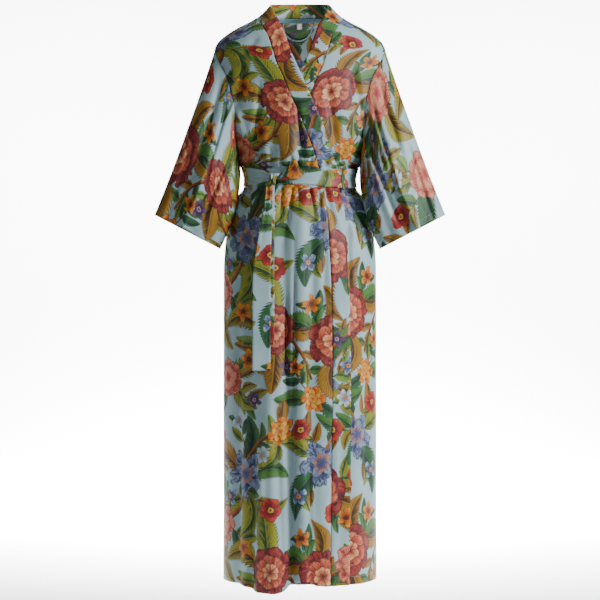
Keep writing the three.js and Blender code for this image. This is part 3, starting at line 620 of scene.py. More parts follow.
def nearestMotif(centres, motif, low, high):
    # for each face, the row and place of the motif that it lies in or next to
    margin = motif["margin"]
    best = np.full(len(centres), np.inf)
    chosen = np.full(len(centres), -1)
    places = []
    for index, row in enumerate(motif["rows"]):
        for px, py, a, b in repeatCopies(row["x"], row["y"], low, high, margin):
            near = np.flatnonzero((np.abs(centres - (px, py)) < margin).all(axis=1))
            if not len(near):
                continue
            distance = motif["measure"](row, centres[near] - (px, py))
            closer = distance < best[near]
            best[near[closer]] = distance[closer]
            chosen[near[closer]] = len(places)
            places.append((index, px, py, a * printRepeat["seedAcross"] + b * printRepeat["seedDown"]))
    return chosen, places


def turnedOffset(row, offset):
    # the offset in the motif's own frame, as a share of its size
    c, s = math.cos(row["turn"]), math.sin(row["turn"])
    x = (offset[..., 0] * c + offset[..., 1] * s) / row["size"]
    y = (offset[..., 1] * c - offset[..., 0] * s) / row["size"]
    return x, y


def flowerLocal(row, offset):
    return np.stack(turnedOffset(row, offset), axis=-1)


def leafLocal(row, offset):
    x, y = turnedOffset(row, offset)
    return np.stack([x, y - row["bend"] * (1 - x * x)], axis=-1)


def stemLocal(row, offset):
    # offset is from the stem's first end: across in mm, and the share of the way along
    dx, dy = row["x1"] - row["x0"], row["y1"] - row["y0"]
    length = math.hypot(dx, dy)
    t = (offset[..., 0] * dx + offset[..., 1] * dy) / length ** 2
    across = (offset[..., 1] * dx - offset[..., 0] * dy) / length
    return np.stack([across - 4 * t * (1 - t) * row["sag"], t], axis=-1)


def flowerMeasure(row, offset):
    return np.linalg.norm(flowerLocal(row, offset), axis=-1)


def leafMeasure(row, offset):
    local = leafLocal(row, offset)
    return np.hypot(local[:, 0], local[:, 1] * leaves["slimness"])


def stemMeasure(row, offset):
    local = stemLocal(row, offset)
    outside = np.maximum(0, np.maximum(-local[:, 1], local[:, 1] - 1))
    return np.abs(local[:, 0]) / (row["half"] + stemMargin) + outside * farPastEnd


leafChance = np.random.default_rng(leaves["seed"])
bigLeaves = flowerLeaves(leafChance)
smallLeaves = stemLeaves(leafChance)
stemRows = [dict(row, x=row["x0"], y=row["y0"]) for row in stems]

# Each layer of the print: what is in it, and how far a motif reaches
motifs = {
    "stem": dict(rows=stemRows, kinds=stemTones, local=stemLocal, measure=stemMeasure, margin=270),
    "leaf": dict(rows=bigLeaves, kinds=leafTones, local=leafLocal, measure=leafMeasure, margin=80),
    "sprig": dict(rows=smallLeaves, kinds=leafTones, local=leafLocal, measure=leafMeasure, margin=60),
    "posy": dict(rows=smallFlowers, kinds=smallKinds, local=flowerLocal, measure=flowerMeasure, margin=50),
    "bloom": dict(rows=bigFlowers, kinds=flowerKinds, local=flowerLocal, measure=flowerMeasure, margin=100),
}
motifColours = {
    "stem": ("Light", "Dark"),
    "leaf": ("Light", "Dark"),
    "sprig": ("Light", "Dark"),
    "posy": ("Rim", "Mid", "Deep", "Heart"),
    "bloom": ("Rim", "Mid", "Deep", "Heart", "Inner"),
}


def tableLayer(mesh, name, chosen, table, empty, kind="FLOAT_COLOR", field="color"):
    # one value for all four corners of a face, from the table's row for its motif
    values = np.zeros((len(chosen), len(empty)), np.float32)
    values[:] = empty
    hit = chosen >= 0
    values[hit] = np.array(table or [empty])[chosen[hit]]
    layer = mesh.attributes.new(name, kind, "CORNER")
    layer.data.foreach_set(field, np.repeat(values, 4, axis=0).ravel())


def placeLayer(mesh, name, cornerUv, chosen, places, motif):
    # each corner's place in its motif, and a third number: a seed, or half a stem's width
    values = np.full((*cornerUv.shape[:2], 3), 9.0, np.float32)
    for k, (index, px, py, seed) in enumerate(places):
        row = motif["rows"][index]
        mine = chosen == k
        if mine.any():
            values[mine, :, :2] = motif["local"](row, cornerUv[mine] - (px, py))
            values[mine, :, 2] = row["half"] if "half" in row else seed + row["size"]
    layer = mesh.attributes.new(name, "FLOAT_VECTOR", "CORNER")
    layer.data.foreach_set("vector", values.ravel())


def printOn(obj, shift, turn=0.0):
    # lays the repeat on a piece, cut from the cloth at shift and turned on it
    mesh = obj.data
    count = len(mesh.polygons)
    uv = np.empty(count * 8, np.float32)
    mesh.uv_layers["cloth"].data.foreach_get("uv", uv)
    uv = uv.reshape(count, 4, 2).astype(float) * 1000
    c, s = math.cos(turn), math.sin(turn)
    u, v = uv[..., 0], uv[..., 1]
    uv = np.stack([u * c - v * s + shift[0], u * s + v * c + shift[1]], axis=-1)
    centres = uv.mean(axis=1)
    low, high = centres.min(axis=0), centres.max(axis=0)
    for name, motif in motifs.items():
        chosen, places = nearestMotif(centres, motif, low, high)
        placeLayer(mesh, name, uv, chosen, places, motif)
        rowKinds = [motif["kinds"][row["kind"]] for row in motif["rows"]]
        kinds = [rowKinds[place[0]] for place in places]
        if "Rim" in motifColours[name]:
            forms = [[kind[key] for key in ("petals", "scallop", "point")] for kind in kinds]
            tableLayer(mesh, name + "Form", chosen, forms, (5, 0.3, 1), "FLOAT_VECTOR", "vector")
        for colour in motifColours[name]:
            tones = [linear(kind[colour.lower()]) for kind in kinds]
            tableLayer(mesh, name + colour, chosen, tones, (0, 0, 0, 1))


# Shader nodes

def addNode(tree, kind, *values, **settings):
    node = tree.nodes.new("ShaderNode" + kind)
    for key, value in settings.items():
        setattr(node, key, value)
    for socket, value in zip(node.inputs, values):
        join(tree, value, socket)
    return node


def join(tree, value, socket):
    # gives a socket a value, or links it to a node's first output or to another socket
    if value is None:
        return
    if isinstance(value, bpy.types.Node):
        value = value.outputs[0]
    if isinstance(value, bpy.types.NodeSocket):
        tree.links.new(value, socket)
    else:
        socket.default_value = value


def fill(tree, node, inputs):
    for label, value in inputs.items():
        join(tree, value, node.inputs[label])
    return node


def groupNode(tree, group, **inputs):
    return fill(tree, addNode(tree, "Group", node_tree=group), inputs)


def bumpOf(tree, height, strength, distance):
    return fill(tree, addNode(tree, "Bump", strength, distance), {"Height": height})


def calc(tree, operation, *values):
    return addNode(tree, "Math", *values, operation=operation)


def blend(tree, share, first, second):
    return addNode(tree, "MixRGB", share, first, second)


def ramp(tree, value, low, high, start=0.0, end=1.0):
    return addNode(tree, "MapRange", value, low, high, start, end)


def softStep(tree, value, low, high, start=0.0, end=1.0):
    return addNode(tree, "MapRange", value, low, high, start, end, interpolation_type="SMOOTHSTEP")


def noise(tree, place, scale, detail, roughness):
    return addNode(tree, "TexNoise", place, None, scale, detail, roughness).outputs["Fac"]


def vector(tree, x, y, z):
    return addNode(tree, "CombineXYZ", x, y, z)


def parts(tree, place):
    return addNode(tree, "SeparateXYZ", place).outputs


def newMaterial(name):
    material = bpy.data.materials.new(name)
    material.use_nodes = True
    return material, material.node_tree, material.node_tree.nodes["Principled BSDF"]


def newGroup(name, floats, colours):
    # a group that paints one motif over the colour that lies under it
    tree = bpy.data.node_groups.new(name, "ShaderNodeTree")
    for kind, labels in (("Vector", ["Place"]), ("Float", floats), ("Color", (*colours, "Under"))):
        for label in labels:
            tree.interface.new_socket(label, in_out="INPUT", socket_type="NodeSocket" + kind)
    tree.interface.new_socket("Colour", in_out="OUTPUT", socket_type="NodeSocketColor")
    given = tree.nodes.new("NodeGroupInput").outputs
    return tree, given, parts(tree, given["Place"])


def closeGroup(tree, given, mask, tone):
    painted = blend(tree, mask, given["Under"], tone)
    tree.links.new(painted.outputs[0], tree.nodes.new("NodeGroupOutput").inputs["Colour"])
    return tree


petalPaint = {
    "wanderScale": 2.6,
    "wander": 1.1,  # how far the petals stray
    "ragged": 0.28,
    "strokes": 2.6,  # brush strokes to a petal
    "strokeGain": 2.5,
    "gapShade": -0.30,
    "mid": (0.12, 0.50),  # where the middle colour takes over from the deep one
    "rim": (0.62, 1.00),
    "crack": (0.05, 0.30, 0.72, 0.0),  # the dark line between two petals
    "outline": (0.90, 0.99, 0.0, 0.75),
    "edge": (1.02, 0.98),
}
leafPaint = {
    "fullness": 0.62,
    "lean": -0.34,  # wider towards the stalk
    "veinSlant": -1.6,
    "tooth": (-0.30, 1.10),
    "tips": 0.985,
    "grainScale": 8.0,
    "grainGain": 2.3,
    "shadeHalf": (-0.05, 0.05, 0.55, 0.0),
    "light": (0.30, 0.95),
    "outline": (0.82, 0.98, 0.0, 0.7),
    "vein": (0.22, 0.02, 0.0, 0.8),
    "rib": (0.035, 0.020, 0.0, 0.85),
    "edge": (1.04, 0.97),
}
stemPaint = {
    "barkAcross": 0.12,
    "barkAlong": 9.0,
    "knob": (0.9, 0.55),
    "taper": (-0.45, 1.15),
    "light": (0.2, 0.8),
    "edge": (1.12, 0.92),
}


def petalRing():
    # one ring of painted petals: rim, middle and deep colours run in brush strokes from edge to heart
    tree, given, (x, y, seed) = newGroup(
        "ring of painted petals", ("Petals", "Scallop", "Point", "Reach", "Turn"), ("Rim", "Mid", "Deep"))
    radius = addNode(tree, "VectorMath", vector(tree, x, y, 0.0), operation="LENGTH").outputs["Value"]
    angle = calc(tree, "ARCTAN2", y, x)
    wander = noise(tree, vector(tree, x, y, seed), petalPaint["wanderScale"], 2.0, 0.5)
    sway = calc(tree, "SUBTRACT", wander, 0.5)
    turned = calc(tree, "ADD", calc(tree, "MULTIPLY_ADD", sway, petalPaint["wander"], angle), given["Turn"])
    half = calc(tree, "MULTIPLY", given["Petals"], 0.5)
    wave = calc(tree, "COSINE", calc(tree, "MULTIPLY", turned, half))
    petal = calc(tree, "POWER", calc(tree, "ABSOLUTE", wave), given["Point"])
    gap = calc(tree, "SUBTRACT", 1.0, petal)
    cut = calc(tree, "SUBTRACT", 1.0, calc(tree, "MULTIPLY", gap, given["Scallop"]))
    edge = calc(tree, "MULTIPLY", cut, given["Reach"])
    share = calc(tree, "DIVIDE", calc(tree, "MULTIPLY_ADD", sway, petalPaint["ragged"], radius), edge)
    around = calc(tree, "MULTIPLY", turned, calc(tree, "MULTIPLY", given["Petals"], petalPaint["strokes"]))
    brush = calc(tree, "SUBTRACT", noise(tree, vector(tree, around, radius, seed), 1.5, 2.0, 0.6), 0.5)
    stroke = calc(tree, "MULTIPLY_ADD", brush, petalPaint["strokeGain"], share)
    shade = calc(tree, "MULTIPLY_ADD", gap, petalPaint["gapShade"], stroke)
    tone = blend(tree, softStep(tree, shade, *petalPaint["mid"]), given["Deep"], given["Mid"])
    tone = blend(tree, softStep(tree, shade, *petalPaint["rim"]), tone, given["Rim"])
    tone = blend(tree, softStep(tree, petal, *petalPaint["crack"]), tone, given["Deep"])
    tone = blend(tree, softStep(tree, share, *petalPaint["outline"]), tone, given["Deep"])
    return closeGroup(tree, given, softStep(tree, share, *petalPaint["edge"]), tone)


def paintedLeaf():
    # a toothed leaf: one half light and one dark, with a pale rib and feathered veins
    tree, given, (x, y, seed) = newGroup("toothed leaf", ("Width", "Teeth"), ("Light", "Dark"))
    off = calc(tree, "ABSOLUTE", y)
    bow = calc(tree, "MULTIPLY_ADD", calc(tree, "MULTIPLY", x, x), -1.0, 1.0)
    body = calc(tree, "POWER", calc(tree, "MAXIMUM", bow, 0.0), leafPaint["fullness"])
    lean = calc(tree, "MULTIPLY_ADD", x, leafPaint["lean"], 1.0)
    full = calc(tree, "MULTIPLY", calc(tree, "MULTIPLY", body, lean), given["Width"])
    slant = calc(tree, "MULTIPLY_ADD", off, leafPaint["veinSlant"], x)
    tooth = calc(tree, "FRACT", calc(tree, "MULTIPLY", slant, given["Teeth"]))
    edge = calc(tree, "MULTIPLY", full, calc(tree, "MULTIPLY_ADD", tooth, *leafPaint["tooth"]))
    share = calc(tree, "DIVIDE", off, calc(tree, "MAXIMUM", edge, 0.001))
    inside = calc(tree, "LESS_THAN", calc(tree, "ABSOLUTE", x), leafPaint["tips"])
    mask = calc(tree, "MULTIPLY", softStep(tree, share, *leafPaint["edge"]), inside)
    along = calc(tree, "MULTIPLY", slant, leafPaint["grainScale"])
    grain = calc(tree, "SUBTRACT", noise(tree, vector(tree, along, off, seed), 3.0, 2.0, 0.6), 0.5)
    drift = calc(tree, "MULTIPLY_ADD", grain, leafPaint["grainGain"], share)
    lit = calc(tree, "ADD", drift, ramp(tree, y, *leafPaint["shadeHalf"]))
    tone = blend(tree, softStep(tree, lit, *leafPaint["light"]), given["Dark"], given["Light"])
    tone = blend(tree, softStep(tree, share, *leafPaint["outline"]), tone, given["Dark"])
    tone = blend(tree, ramp(tree, tooth, *leafPaint["vein"]), tone, given["Dark"])
    tone = blend(tree, ramp(tree, off, *leafPaint["rib"]), tone, given["Light"])
    return closeGroup(tree, given, mask, tone)


def paintedStem():
    # a stem or branch with knobs and bark, thinner towards its tip and lit from one side
    tree, given, (across, along, half) = newGroup("painted stem", (), ("Light", "Dark"))
    barkAcross = calc(tree, "MULTIPLY", across, stemPaint["barkAcross"])
    barkAlong = calc(tree, "MULTIPLY", along, stemPaint["barkAlong"])
    bark = noise(tree, vector(tree, barkAcross, barkAlong, half), 2.0, 2.0, 0.6)
    knob = calc(tree, "MULTIPLY_ADD", bark, *stemPaint["knob"])
    taper = calc(tree, "MULTIPLY", calc(tree, "MULTIPLY_ADD", along, *stemPaint["taper"]), knob)
    share = calc(tree, "DIVIDE", calc(tree, "ABSOLUTE", across), calc(tree, "MULTIPLY", taper, half))
    fromMiddle = calc(tree, "ABSOLUTE", calc(tree, "SUBTRACT", along, 0.5))
    ends = calc(tree, "LESS_THAN", fromMiddle, 0.5)
    mask = calc(tree, "MULTIPLY", softStep(tree, share, *stemPaint["edge"]), ends)
    lit = calc(tree, "MULTIPLY_ADD", calc(tree, "DIVIDE", across, half), 0.5, bark)
    tone = blend(tree, ramp(tree, lit, *stemPaint["light"]), given["Dark"], given["Light"])
    return closeGroup(tree, given, mask, tone)


satin = {
    "ground": "#8FA9AF",  # duck-egg blue
    "groundShade": "#7C989F",
    "roughness": 0.56,
    "gloss": 0.32,
    "sheen": 0.03,
    "creaseScale": 38.0,
    "creaseBump": 0.5,
    "creaseDepth": 0.0012,
    "leaves": {"sprig": dict(Width=0.42, Teeth=5.0), "leaf": dict(Width=0.46, Teeth=7.0)},
}

# The rings of petals in a small flower and in a big one, outermost first
flowerRings = [
    ("posy", dict(Reach=0.92, Rim="Rim", Mid="Mid", Deep="Deep")),
    ("posy", dict(Petals=6.0, Scallop=0.2, Point=0.6, Reach=0.24, Rim="Heart", Mid="Heart", Deep="Deep")),
    ("bloom", dict(Reach=0.96, Rim="Rim", Mid="Mid", Deep="Deep")),
    ("bloom", dict(Reach=0.66, Turn=0.45, Rim="Inner", Mid="Rim", Deep="Deep")),
    ("bloom", dict(Scallop=0.25, Point=0.7, Reach=0.36, Turn=0.2, Rim="Heart", Mid="Inner", Deep="Mid")),
]


def printedSatin():
    # printed viscose satin: matt painted flowers on pale blue, with the soft gleam of a satin weave
    ringGroup, leafGroup, stemGroup = petalRing(), paintedLeaf(), paintedStem()
    material, tree, shader = newMaterial("printed satin")
    place, tones = {}, {}
    for name, colours in motifColours.items():
        place[name] = addNode(tree, "Attribute", attribute_name=name).outputs["Vector"]
        for key in colours:
            tones[name + key] = addNode(tree, "Attribute", attribute_name=name + key).outputs["Color"]
    uv = addNode(tree, "UVMap", uv_map="cloth")
    cloudy = ramp(tree, noise(tree, uv, 9.0, 2.0, 0.5), 0.35, 0.7)
    colour = blend(tree, cloudy, linear(satin["ground"]), linear(satin["groundShade"]))
    for name, form in satin["leaves"].items():
        colour = groupNode(tree, leafGroup, Place=place[name], Light=tones[name + "Light"],
                           Dark=tones[name + "Dark"], Under=colour, **form)
    colour = groupNode(tree, stemGroup, Place=place["stem"], Light=tones["stemLight"],
                       Dark=tones["stemDark"], Under=colour)
    forms = {}
    for name in ("posy", "bloom"):
        form = addNode(tree, "Attribute", attribute_name=name + "Form").outputs["Vector"]
        forms[name] = dict(zip(("Petals", "Scallop", "Point"), parts(tree, form)))
    for name, ring in flowerRings:
        own = {label: tones.get(name + str(value), value) for label, value in ring.items()}
        colour = groupNode(tree, ringGroup, Place=place[name], Under=colour, **{**forms[name], **own})
    crumple = noise(tree, uv, satin["creaseScale"], 3.0, 0.55)
    fill(tree, shader, {
        "Base Color": colour,
        "Normal": bumpOf(tree, crumple, satin["creaseBump"], satin["creaseDepth"]),
        "Roughness": satin["roughness"],
        "Sheen Weight": satin["sheen"],
        "Specular IOR Level": satin["gloss"],
    })
    return material


printedCloth = printedSatin()
print("robe: print and satin made")


def finishPiece(obj, node, material):
    obj.name = obj.data.name = "cloth_" + node
    obj.data.materials.append(material)
    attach(obj, "root")
    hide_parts(node)
    return obj


def printedPiece(obj, node, shift, turn=0.0):
    printOn(obj, shift, turn)
    return finishPiece(obj, node, printedCloth)


# Body panels

def spacedLevels(*spans):
    # levels from span to span, each with its own spacing in rows
    levels = []
    for top, foot, step in spans:
        count = max(1, round((top - foot) / (rowStep * step)))
        levels += list(np.linspace(top, foot, count, endpoint=False))
    return np.array(levels + [spans[-1][1]])


coarse = 1
rowStep = cloth["rowStep"] * coarse
columnStep = cloth["columnStep"] * coarse
lowerSpans = (underarm, -560, 0.7), (-560, hemLevel, 1.3)
panelLevels = spacedLevels((-0.15, shoulderTip, 0.6), (shoulderTip, underarm, 0.9), *lowerSpans)
panels = {
    "front_right_outer": dict(
        layer=outerLayer, side=front, hand=-1, width=320, grain=0.45, shift=(310, 1020)),
    "front_left_inner": dict(
        layer=innerLayer, side=front, hand=1, width=230, grain=0.25, shift=(40, 700)),
    "back": dict(
        layer=backLayer, side=back, hand=0, width=440, grain=0.5, shift=(520, 560)),
}


def seamDip(away):
    # the cloth sinks a little where it is sewn
    return cloth["seamDip"] * np.exp(-(away / cloth["seamReach"]) ** 2)


def panelPlace(spec, z, share):
    # the turn and level of each point of a panel, from side seam to side seam or to the band
    start = np.maximum(armholeEdge(z), cloth["sideGap"] / depthAt(spec["side"], z))
    if spec["hand"] == 0:
        turn = mix(start, math.pi - start, share)
        rise = neckBackRise * np.sin(turn) * ease((z - neckRiseStart) / neckRiseReach)
        return turn, z + np.where(z > neckRiseStart, rise, 0)
    turn = mix(start, turnAt(seamAt(z) + cloth["seamGap"], z), share)
    if spec["hand"] > 0:
        return turn, z + 0 * turn
    turn = math.pi - turn
    return turn, hemmed(z + 0 * turn, outerHemAt(halfAt(z) * np.cos(turn)))


def panel(name, spec):
    columns = int(spec["width"] / columnStep)
    share = np.linspace(0, 1, columns + 1)[None, :]
    turn, level = panelPlace(spec, panelLevels[:, None], share)
    grid = spec["layer"](turn, level, -seamDip(np.minimum(share, 1 - share) * spec["width"]))
    obj = clothWall(name, grid, cloth["wall"], arcUv(grid, int(spec["grain"] * columns)))
    return printedPiece(obj, name, spec["shift"])


body = [panel(name, spec) for name, spec in panels.items()]
print("robe: body panels", sum(len(obj.data.polygons) for obj in body))

# Sleeves

sleeves = {
    "innerX": 188,
    "innerZ": -551,
    "outerX": 342,
    "outerZ": -471,
    "halfDepth": 40,
    "forward": 50,
    "forwardBy": 0.62,
    "innerHang": 15,
    "outerHang": 6,
    "backShift": 0.06,  # folds behind lie a little farther round, and creases more so
    "creaseShift": 1.5,
    "foldStart": 0.25,
    "creaseStart": 0.15,
    "creaseEnd": 0.2,
    "gap": 0.65,  # to the body at the armhole
    "gapReach": 0.1,
    "gapOut": 0.7,
    "length": 400,
    "round": 720,
}
sleeveFolds = rowsOf(
    "at dTop dCuff width",
    (0.2, -2, -5, 0.07), (0.42, -6, -3, 0.09), (0.58, 3, 5, 0.09), (0.74, -1, -6, 0.07),
)
sleeveCreases = rowsOf(
    "t0 v0 t1 v1 depth width",
    (0.62, 0.05, 0.48, 0.75, -3.2, 0.035), (0.80, 0.02, 0.72, 0.60, -2.4, 0.04),
    (0.30, 0.10, 0.36, 0.95, -3.0, 0.04), (0.12, 0.02, 0.24, 0.55, -2.6, 0.035),
    (0.52, 0.35, 0.56, 1.20, 2.4, 0.045), (0.86, 0.45, 0.80, 1.20, -2.2, 0.04),
)
sleevePieces = {
    "sleeve_right": dict(hand=-1, shift=(420, 905)),
    "sleeve_left": dict(hand=1, shift=(140, 300)),
}


def sleeveFoldDepth(t, v, shift):
    total = 0
    for fold in sleeveFolds:
        bell = np.exp(-((t - fold["at"] - shift) / fold["width"]) ** 2)
        total = total + mix(fold["dTop"], fold["dCuff"], v) * bell * ease(v / sleeves["foldStart"])
    for crease in sleeveCreases:
        past = v - crease["v0"]
        along = np.clip(past / (crease["v1"] - crease["v0"]), 0, 1)
        centre = mix(crease["t0"], crease["t1"], along) + shift * sleeves["creaseShift"]
        fade = ease(past / sleeves["creaseStart"]) * ease((crease["v1"] - v) / sleeves["creaseEnd"])
        bell = np.exp(-((t - centre) / crease["width"]) ** 2)
        total = total + cloth["creaseGain"] * crease["depth"] * bell * fade
    return total


def sleevePoint(ring, v, hand):
    t = (1 - np.cos(ring)) / 2
    inFront = np.sin(ring) >= 0
    side = np.where(inFront, -1.0, 1.0)
    z = armholeLevel(ring)
    edge = armholeEdge(z)
    frontStart, backStart = (robePoint(edge, z, own, 0, 0, 0) for own in (front, back))
    start = np.where(inFront[..., None], frontStart, backStart)
    cuffX, cuffZ = mix(sleeves["innerX"], sleeves["outerX"], t), mix(sleeves["innerZ"], sleeves["outerZ"], t)
    end = np.stack([cuffX, side * sleeves["halfDepth"] * np.abs(np.sin(ring)), cuffZ], axis=-1)
    p = start + (end - start) * v[..., None]
    p[..., 1] -= sleeves["forward"] * np.sin(math.pi / 2 * np.minimum(1, v / sleeves["forwardBy"]))
    p[..., 0] -= 4 * v * (1 - v) * (sleeves["innerHang"] * (1 - t) ** 3 + sleeves["outerHang"] * t ** 3)
    p[..., 1] += side * sleeveFoldDepth(t, v, np.where(inFront, 0, sleeves["backShift"]))
    gap = sleeves["gap"] * np.clip(1 - v / sleeves["gapReach"], 0, 1)
    p[..., 2] -= gap
    p[..., 0] += gap * sleeves["gapOut"]
    p[..., 0] *= hand
    return p


def sleeve(name, spec):
    around = int(sleeves["round"] / columnStep / 2) * 2
    along = int(sleeves["length"] / rowStep)
    ring = (2 * math.pi * np.arange(around) / around)[None, :]
    v = np.linspace(0, 1, along + 1)[:, None]
    ring, v = np.broadcast_arrays(ring, v)
    grid = sleevePoint(ring, v, spec["hand"])
    normal = gridNormals(grid, True)
    centre = grid.mean(axis=1, keepdims=True)
    if ((grid - centre) * normal).sum() < 0:
        normal = -normal
    grid = grid - normal * seamDip(v * sleeves["length"])[..., None]
    obj = clothWall(name, grid, cloth["wall"], arcUv(grid, around // 4, True), True, normal)
    return printedPiece(obj, name, spec["shift"])


for name, spec in sleevePieces.items():
    sleeve(name, spec)
print("robe: sleeves")

# Neckband

bands = {
    "neckband_right": dict(layer=outerLayer, hand=-1, shift=(90, 1100), turn=0.05),
    "neckband_left": dict(layer=innerLayer, hand=1, shift=(470, 830), turn=-0.04),
}
bandLook = {
    "columns": 10,
    "plump": 0.5,  # the folded band stands this much over the cloth beside it
    "seamRoll": 0.9,
    "seamReach": 2.2,
    "edgeRoll": 0.7,
    "edgeReach": 1.6,
}
collarLook = {
    "gap": 0.0045,  # in turn, between the collar and each front band
    "seamGap": 0.004,
    "columns": 120,
    "height": 32,  # at the neck points
    "rise": 10,  # and this much more at the back
    "shift": (260, 480),
    "turn": 1.45,
}
bandLevels = spacedLevels((0, -60, 0.5), (-60, underarm, 0.8), *lowerSpans)


def bandFace(share):
    # a folded band is full in the middle and rolls in at its edges
    seam = bandLook["seamRoll"] * roll(share, bandLook["seamReach"])
    return bandLook["plump"] - seam - bandLook["edgeRoll"] * roll(1 - share, bandLook["edgeReach"])


def bandPiece(name, grid, normal, spec):
    obj = clothWall(name, grid, cloth["foldedWall"], arcUv(grid, bandLook["columns"] // 2), False, normal)
    return printedPiece(obj, name, spec["shift"], spec["turn"])


def frontBand(name, spec):
    z = bandLevels[:, None]
    share = np.linspace(0, 1, bandLook["columns"] + 1)[None, :] + 0 * z
    level = z + riseAt(z) * share
    x = mix(seamAt(z) - cloth["seamGap"], freeAt(z), share) * spec["hand"]
    gap = cloth["sideGap"] / frontDepthAt(level)
    turn = np.clip(turnAt(x, level), gap, math.pi - gap)
    if spec["hand"] < 0:
        level = hemmed(level, outerHemAt(x))
    grid = spec["layer"](turn, level, bandFace(share))
    normal = normalsFacing(grid, front)
    levelled(normal, 0)
    return bandPiece(name, grid, normal, spec)


def collar(name, spec):
    turn = np.linspace(spec["gap"], math.pi - spec["gap"], spec["columns"] + 1)[:, None]
    share = np.linspace(spec["seamGap"], 1, bandLook["columns"] + 1)[None, :]
    level = mix(neckBackRise * np.sin(turn), spec["height"] + spec["rise"] * np.sin(turn), share)
    turn, level = np.broadcast_arrays(turn, level)
    grid = backLayer(turn, level, bandFace(share + 0 * turn), 0.0)
    normal = normalsFacing(grid, back)
    levelled(normal, 0)
    levelled(normal, -1)
    return bandPiece(name, grid, normal, spec)


for name, spec in bands.items():
    frontBand(name, spec)
collar("neckband_back", collarLook)
print("robe: neckband")

# Belt

beltEdges = rowsOf(
    "x top foot",
    (-136, -359, -399), (-110, -361, -401), (-86, -367, -404), (-64, -377, -405), (-30, -379, -403),
    (8, -377, -402), (60, -369, -408), (104, -364, -409), (136, -360, -401),
)
beltTopAt = curveThrough(beltEdges, "x", "top")
beltFootAt = curveThrough(beltEdges, "x", "foot")
belt = {
    "clear": 0.7,
    "stand": 0.7,  # over the cloth it presses on
    "thinnest": 0.6,
    "frontX": 130,
    "backX": 136,
    "liftFade": 0.35,
    "creases": 3.5,  # soft lengthwise pleats that run into the knot
    "creaseDepth": 1.7,
    "creaseLean": 0.02,
    "calm": 0.18,  # share of the pleats far from the knot
    "knotReach": 46,
    "edgeRoll": 0.8,
    "edgeReach": 1.6,
    "rows": 16,
    "around": 260,
    "shift": (398, 205),
    "turn": 1.52,
}
knot = {
    "x": -64,
    "z": -391,
    "halfWidth": 12,
    "rise": 15,
    "reach": 1.7,  # in half widths, where it comes off the belt
    "wall": 2.4,
    "bulge": 14,
    "lean": 5,
    "wrap": 0.8 * math.pi,
    "folds": 3,
    "foldDepth": 0.13,
    "foldTwist": 0.08,
    "shoulder": 0.62,  # how far it falls away to each side
    "flare": 0.3,
    "pinch": 0.14,
    "clear": 0.6,
    "rows": 44,
    "columns": 36,
    "shift": (150, 655),
    "turn": 0.4,
}
ear = {
    "left": -46,
    "right": 8,
    "peak": -12,
    "foot": -388,
    "top": -345,
    "slope": 7,
    "tipRise": 5,
    "tipFrom": 0.75,
    "lowLeft": 12,  # its least height at either end
    "lowRight": 2,
    "roundness": 0.8,
    "wall": 1.8,
    "bulge": 7.5,
    "droop": 0.5,
    "fanFrom": 6,
    "folds": 9,
    "foldPhase": 0.6,
    "foldSpan": 1.1,
    "foldDepth": 1.7,
    "topRoll": 2.2,
    "topReach": 0.10,
    "sideRoll": 1.6,
    "sideReach": 0.06,
    "groundLevels": (-388, -375, -365, -355, -345),
    "rows": 26,
    "columns": 40,
    "shift": (160, 399),
}
beltEnds = {
    "belt_end_long": dict(foot=-834, xTop=-71, xFoot=-89, layer=2.45, slant=1, shift=(434, 668)),
    "belt_end_short": dict(foot=-772, xTop=-67, xFoot=-80, layer=0, slant=-3, shift=(120, 380)),
}
endLook = {
    "z": -397,
    "width": 16,
    "fall": 240,
    "clear": 3.2,
    "wall": 1.6,
    "underKnot": 12,
    "knotLevel": -400,
    "waveDown": 75,
    "waveAcross": 21,
    "pleat": 0.8,
    "pleatPhase": 0.6,
    "pleatFade": 12,
    "edgeRoll": 0.6,
    "edgeReach": 1.6,
    "rows": 110,
    "columns": 14,
}
beltLoops = {
    "belt_loop_left": dict(x=96),
    "belt_loop_right": dict(x=-119),
}
loopStrip = {
    "width": 10,
    "wall": 1.2,
    "beyond": 5,
    "seat": 0.7,
    "over": 0.9,  # over the belt
    "climb": 0.2,
    "edgeRoll": 0.35,
    "edgeReach": 0.9,
    "rows": 40,
    "columns": 6,
    "shift": (60, 440),
}


def beltPiece(name, grid, look, shift, inward=None, wall=None):
    # a piece of the belt's cloth; where no other way is given, its wall grows straight forward
    if inward is None:
        inward = np.zeros_like(grid)
        inward[..., 1] = -1
    uv = arcUv(grid, look["columns"] // 2)
    obj = clothWall(name, grid, wall or look["wall"], uv, False, inward)
    return printedPiece(obj, name, shift, look.get("turn", 0.0))


def beltSurface(turn, z, out):
    inFront = turn > math.pi
    own = np.where(inFront, 2 * math.pi - turn, turn)
    lift = np.where(inFront, cloth["wrapLift"] * ease(np.sin(own) / belt["liftFade"]), 0)
    push = lift + belt["clear"] + out
    frontPoint, backPoint = (robePoint(own, z, side, push, 0, 0) for side in (front, back))
    return np.where(inFront[..., None], frontPoint, backPoint)


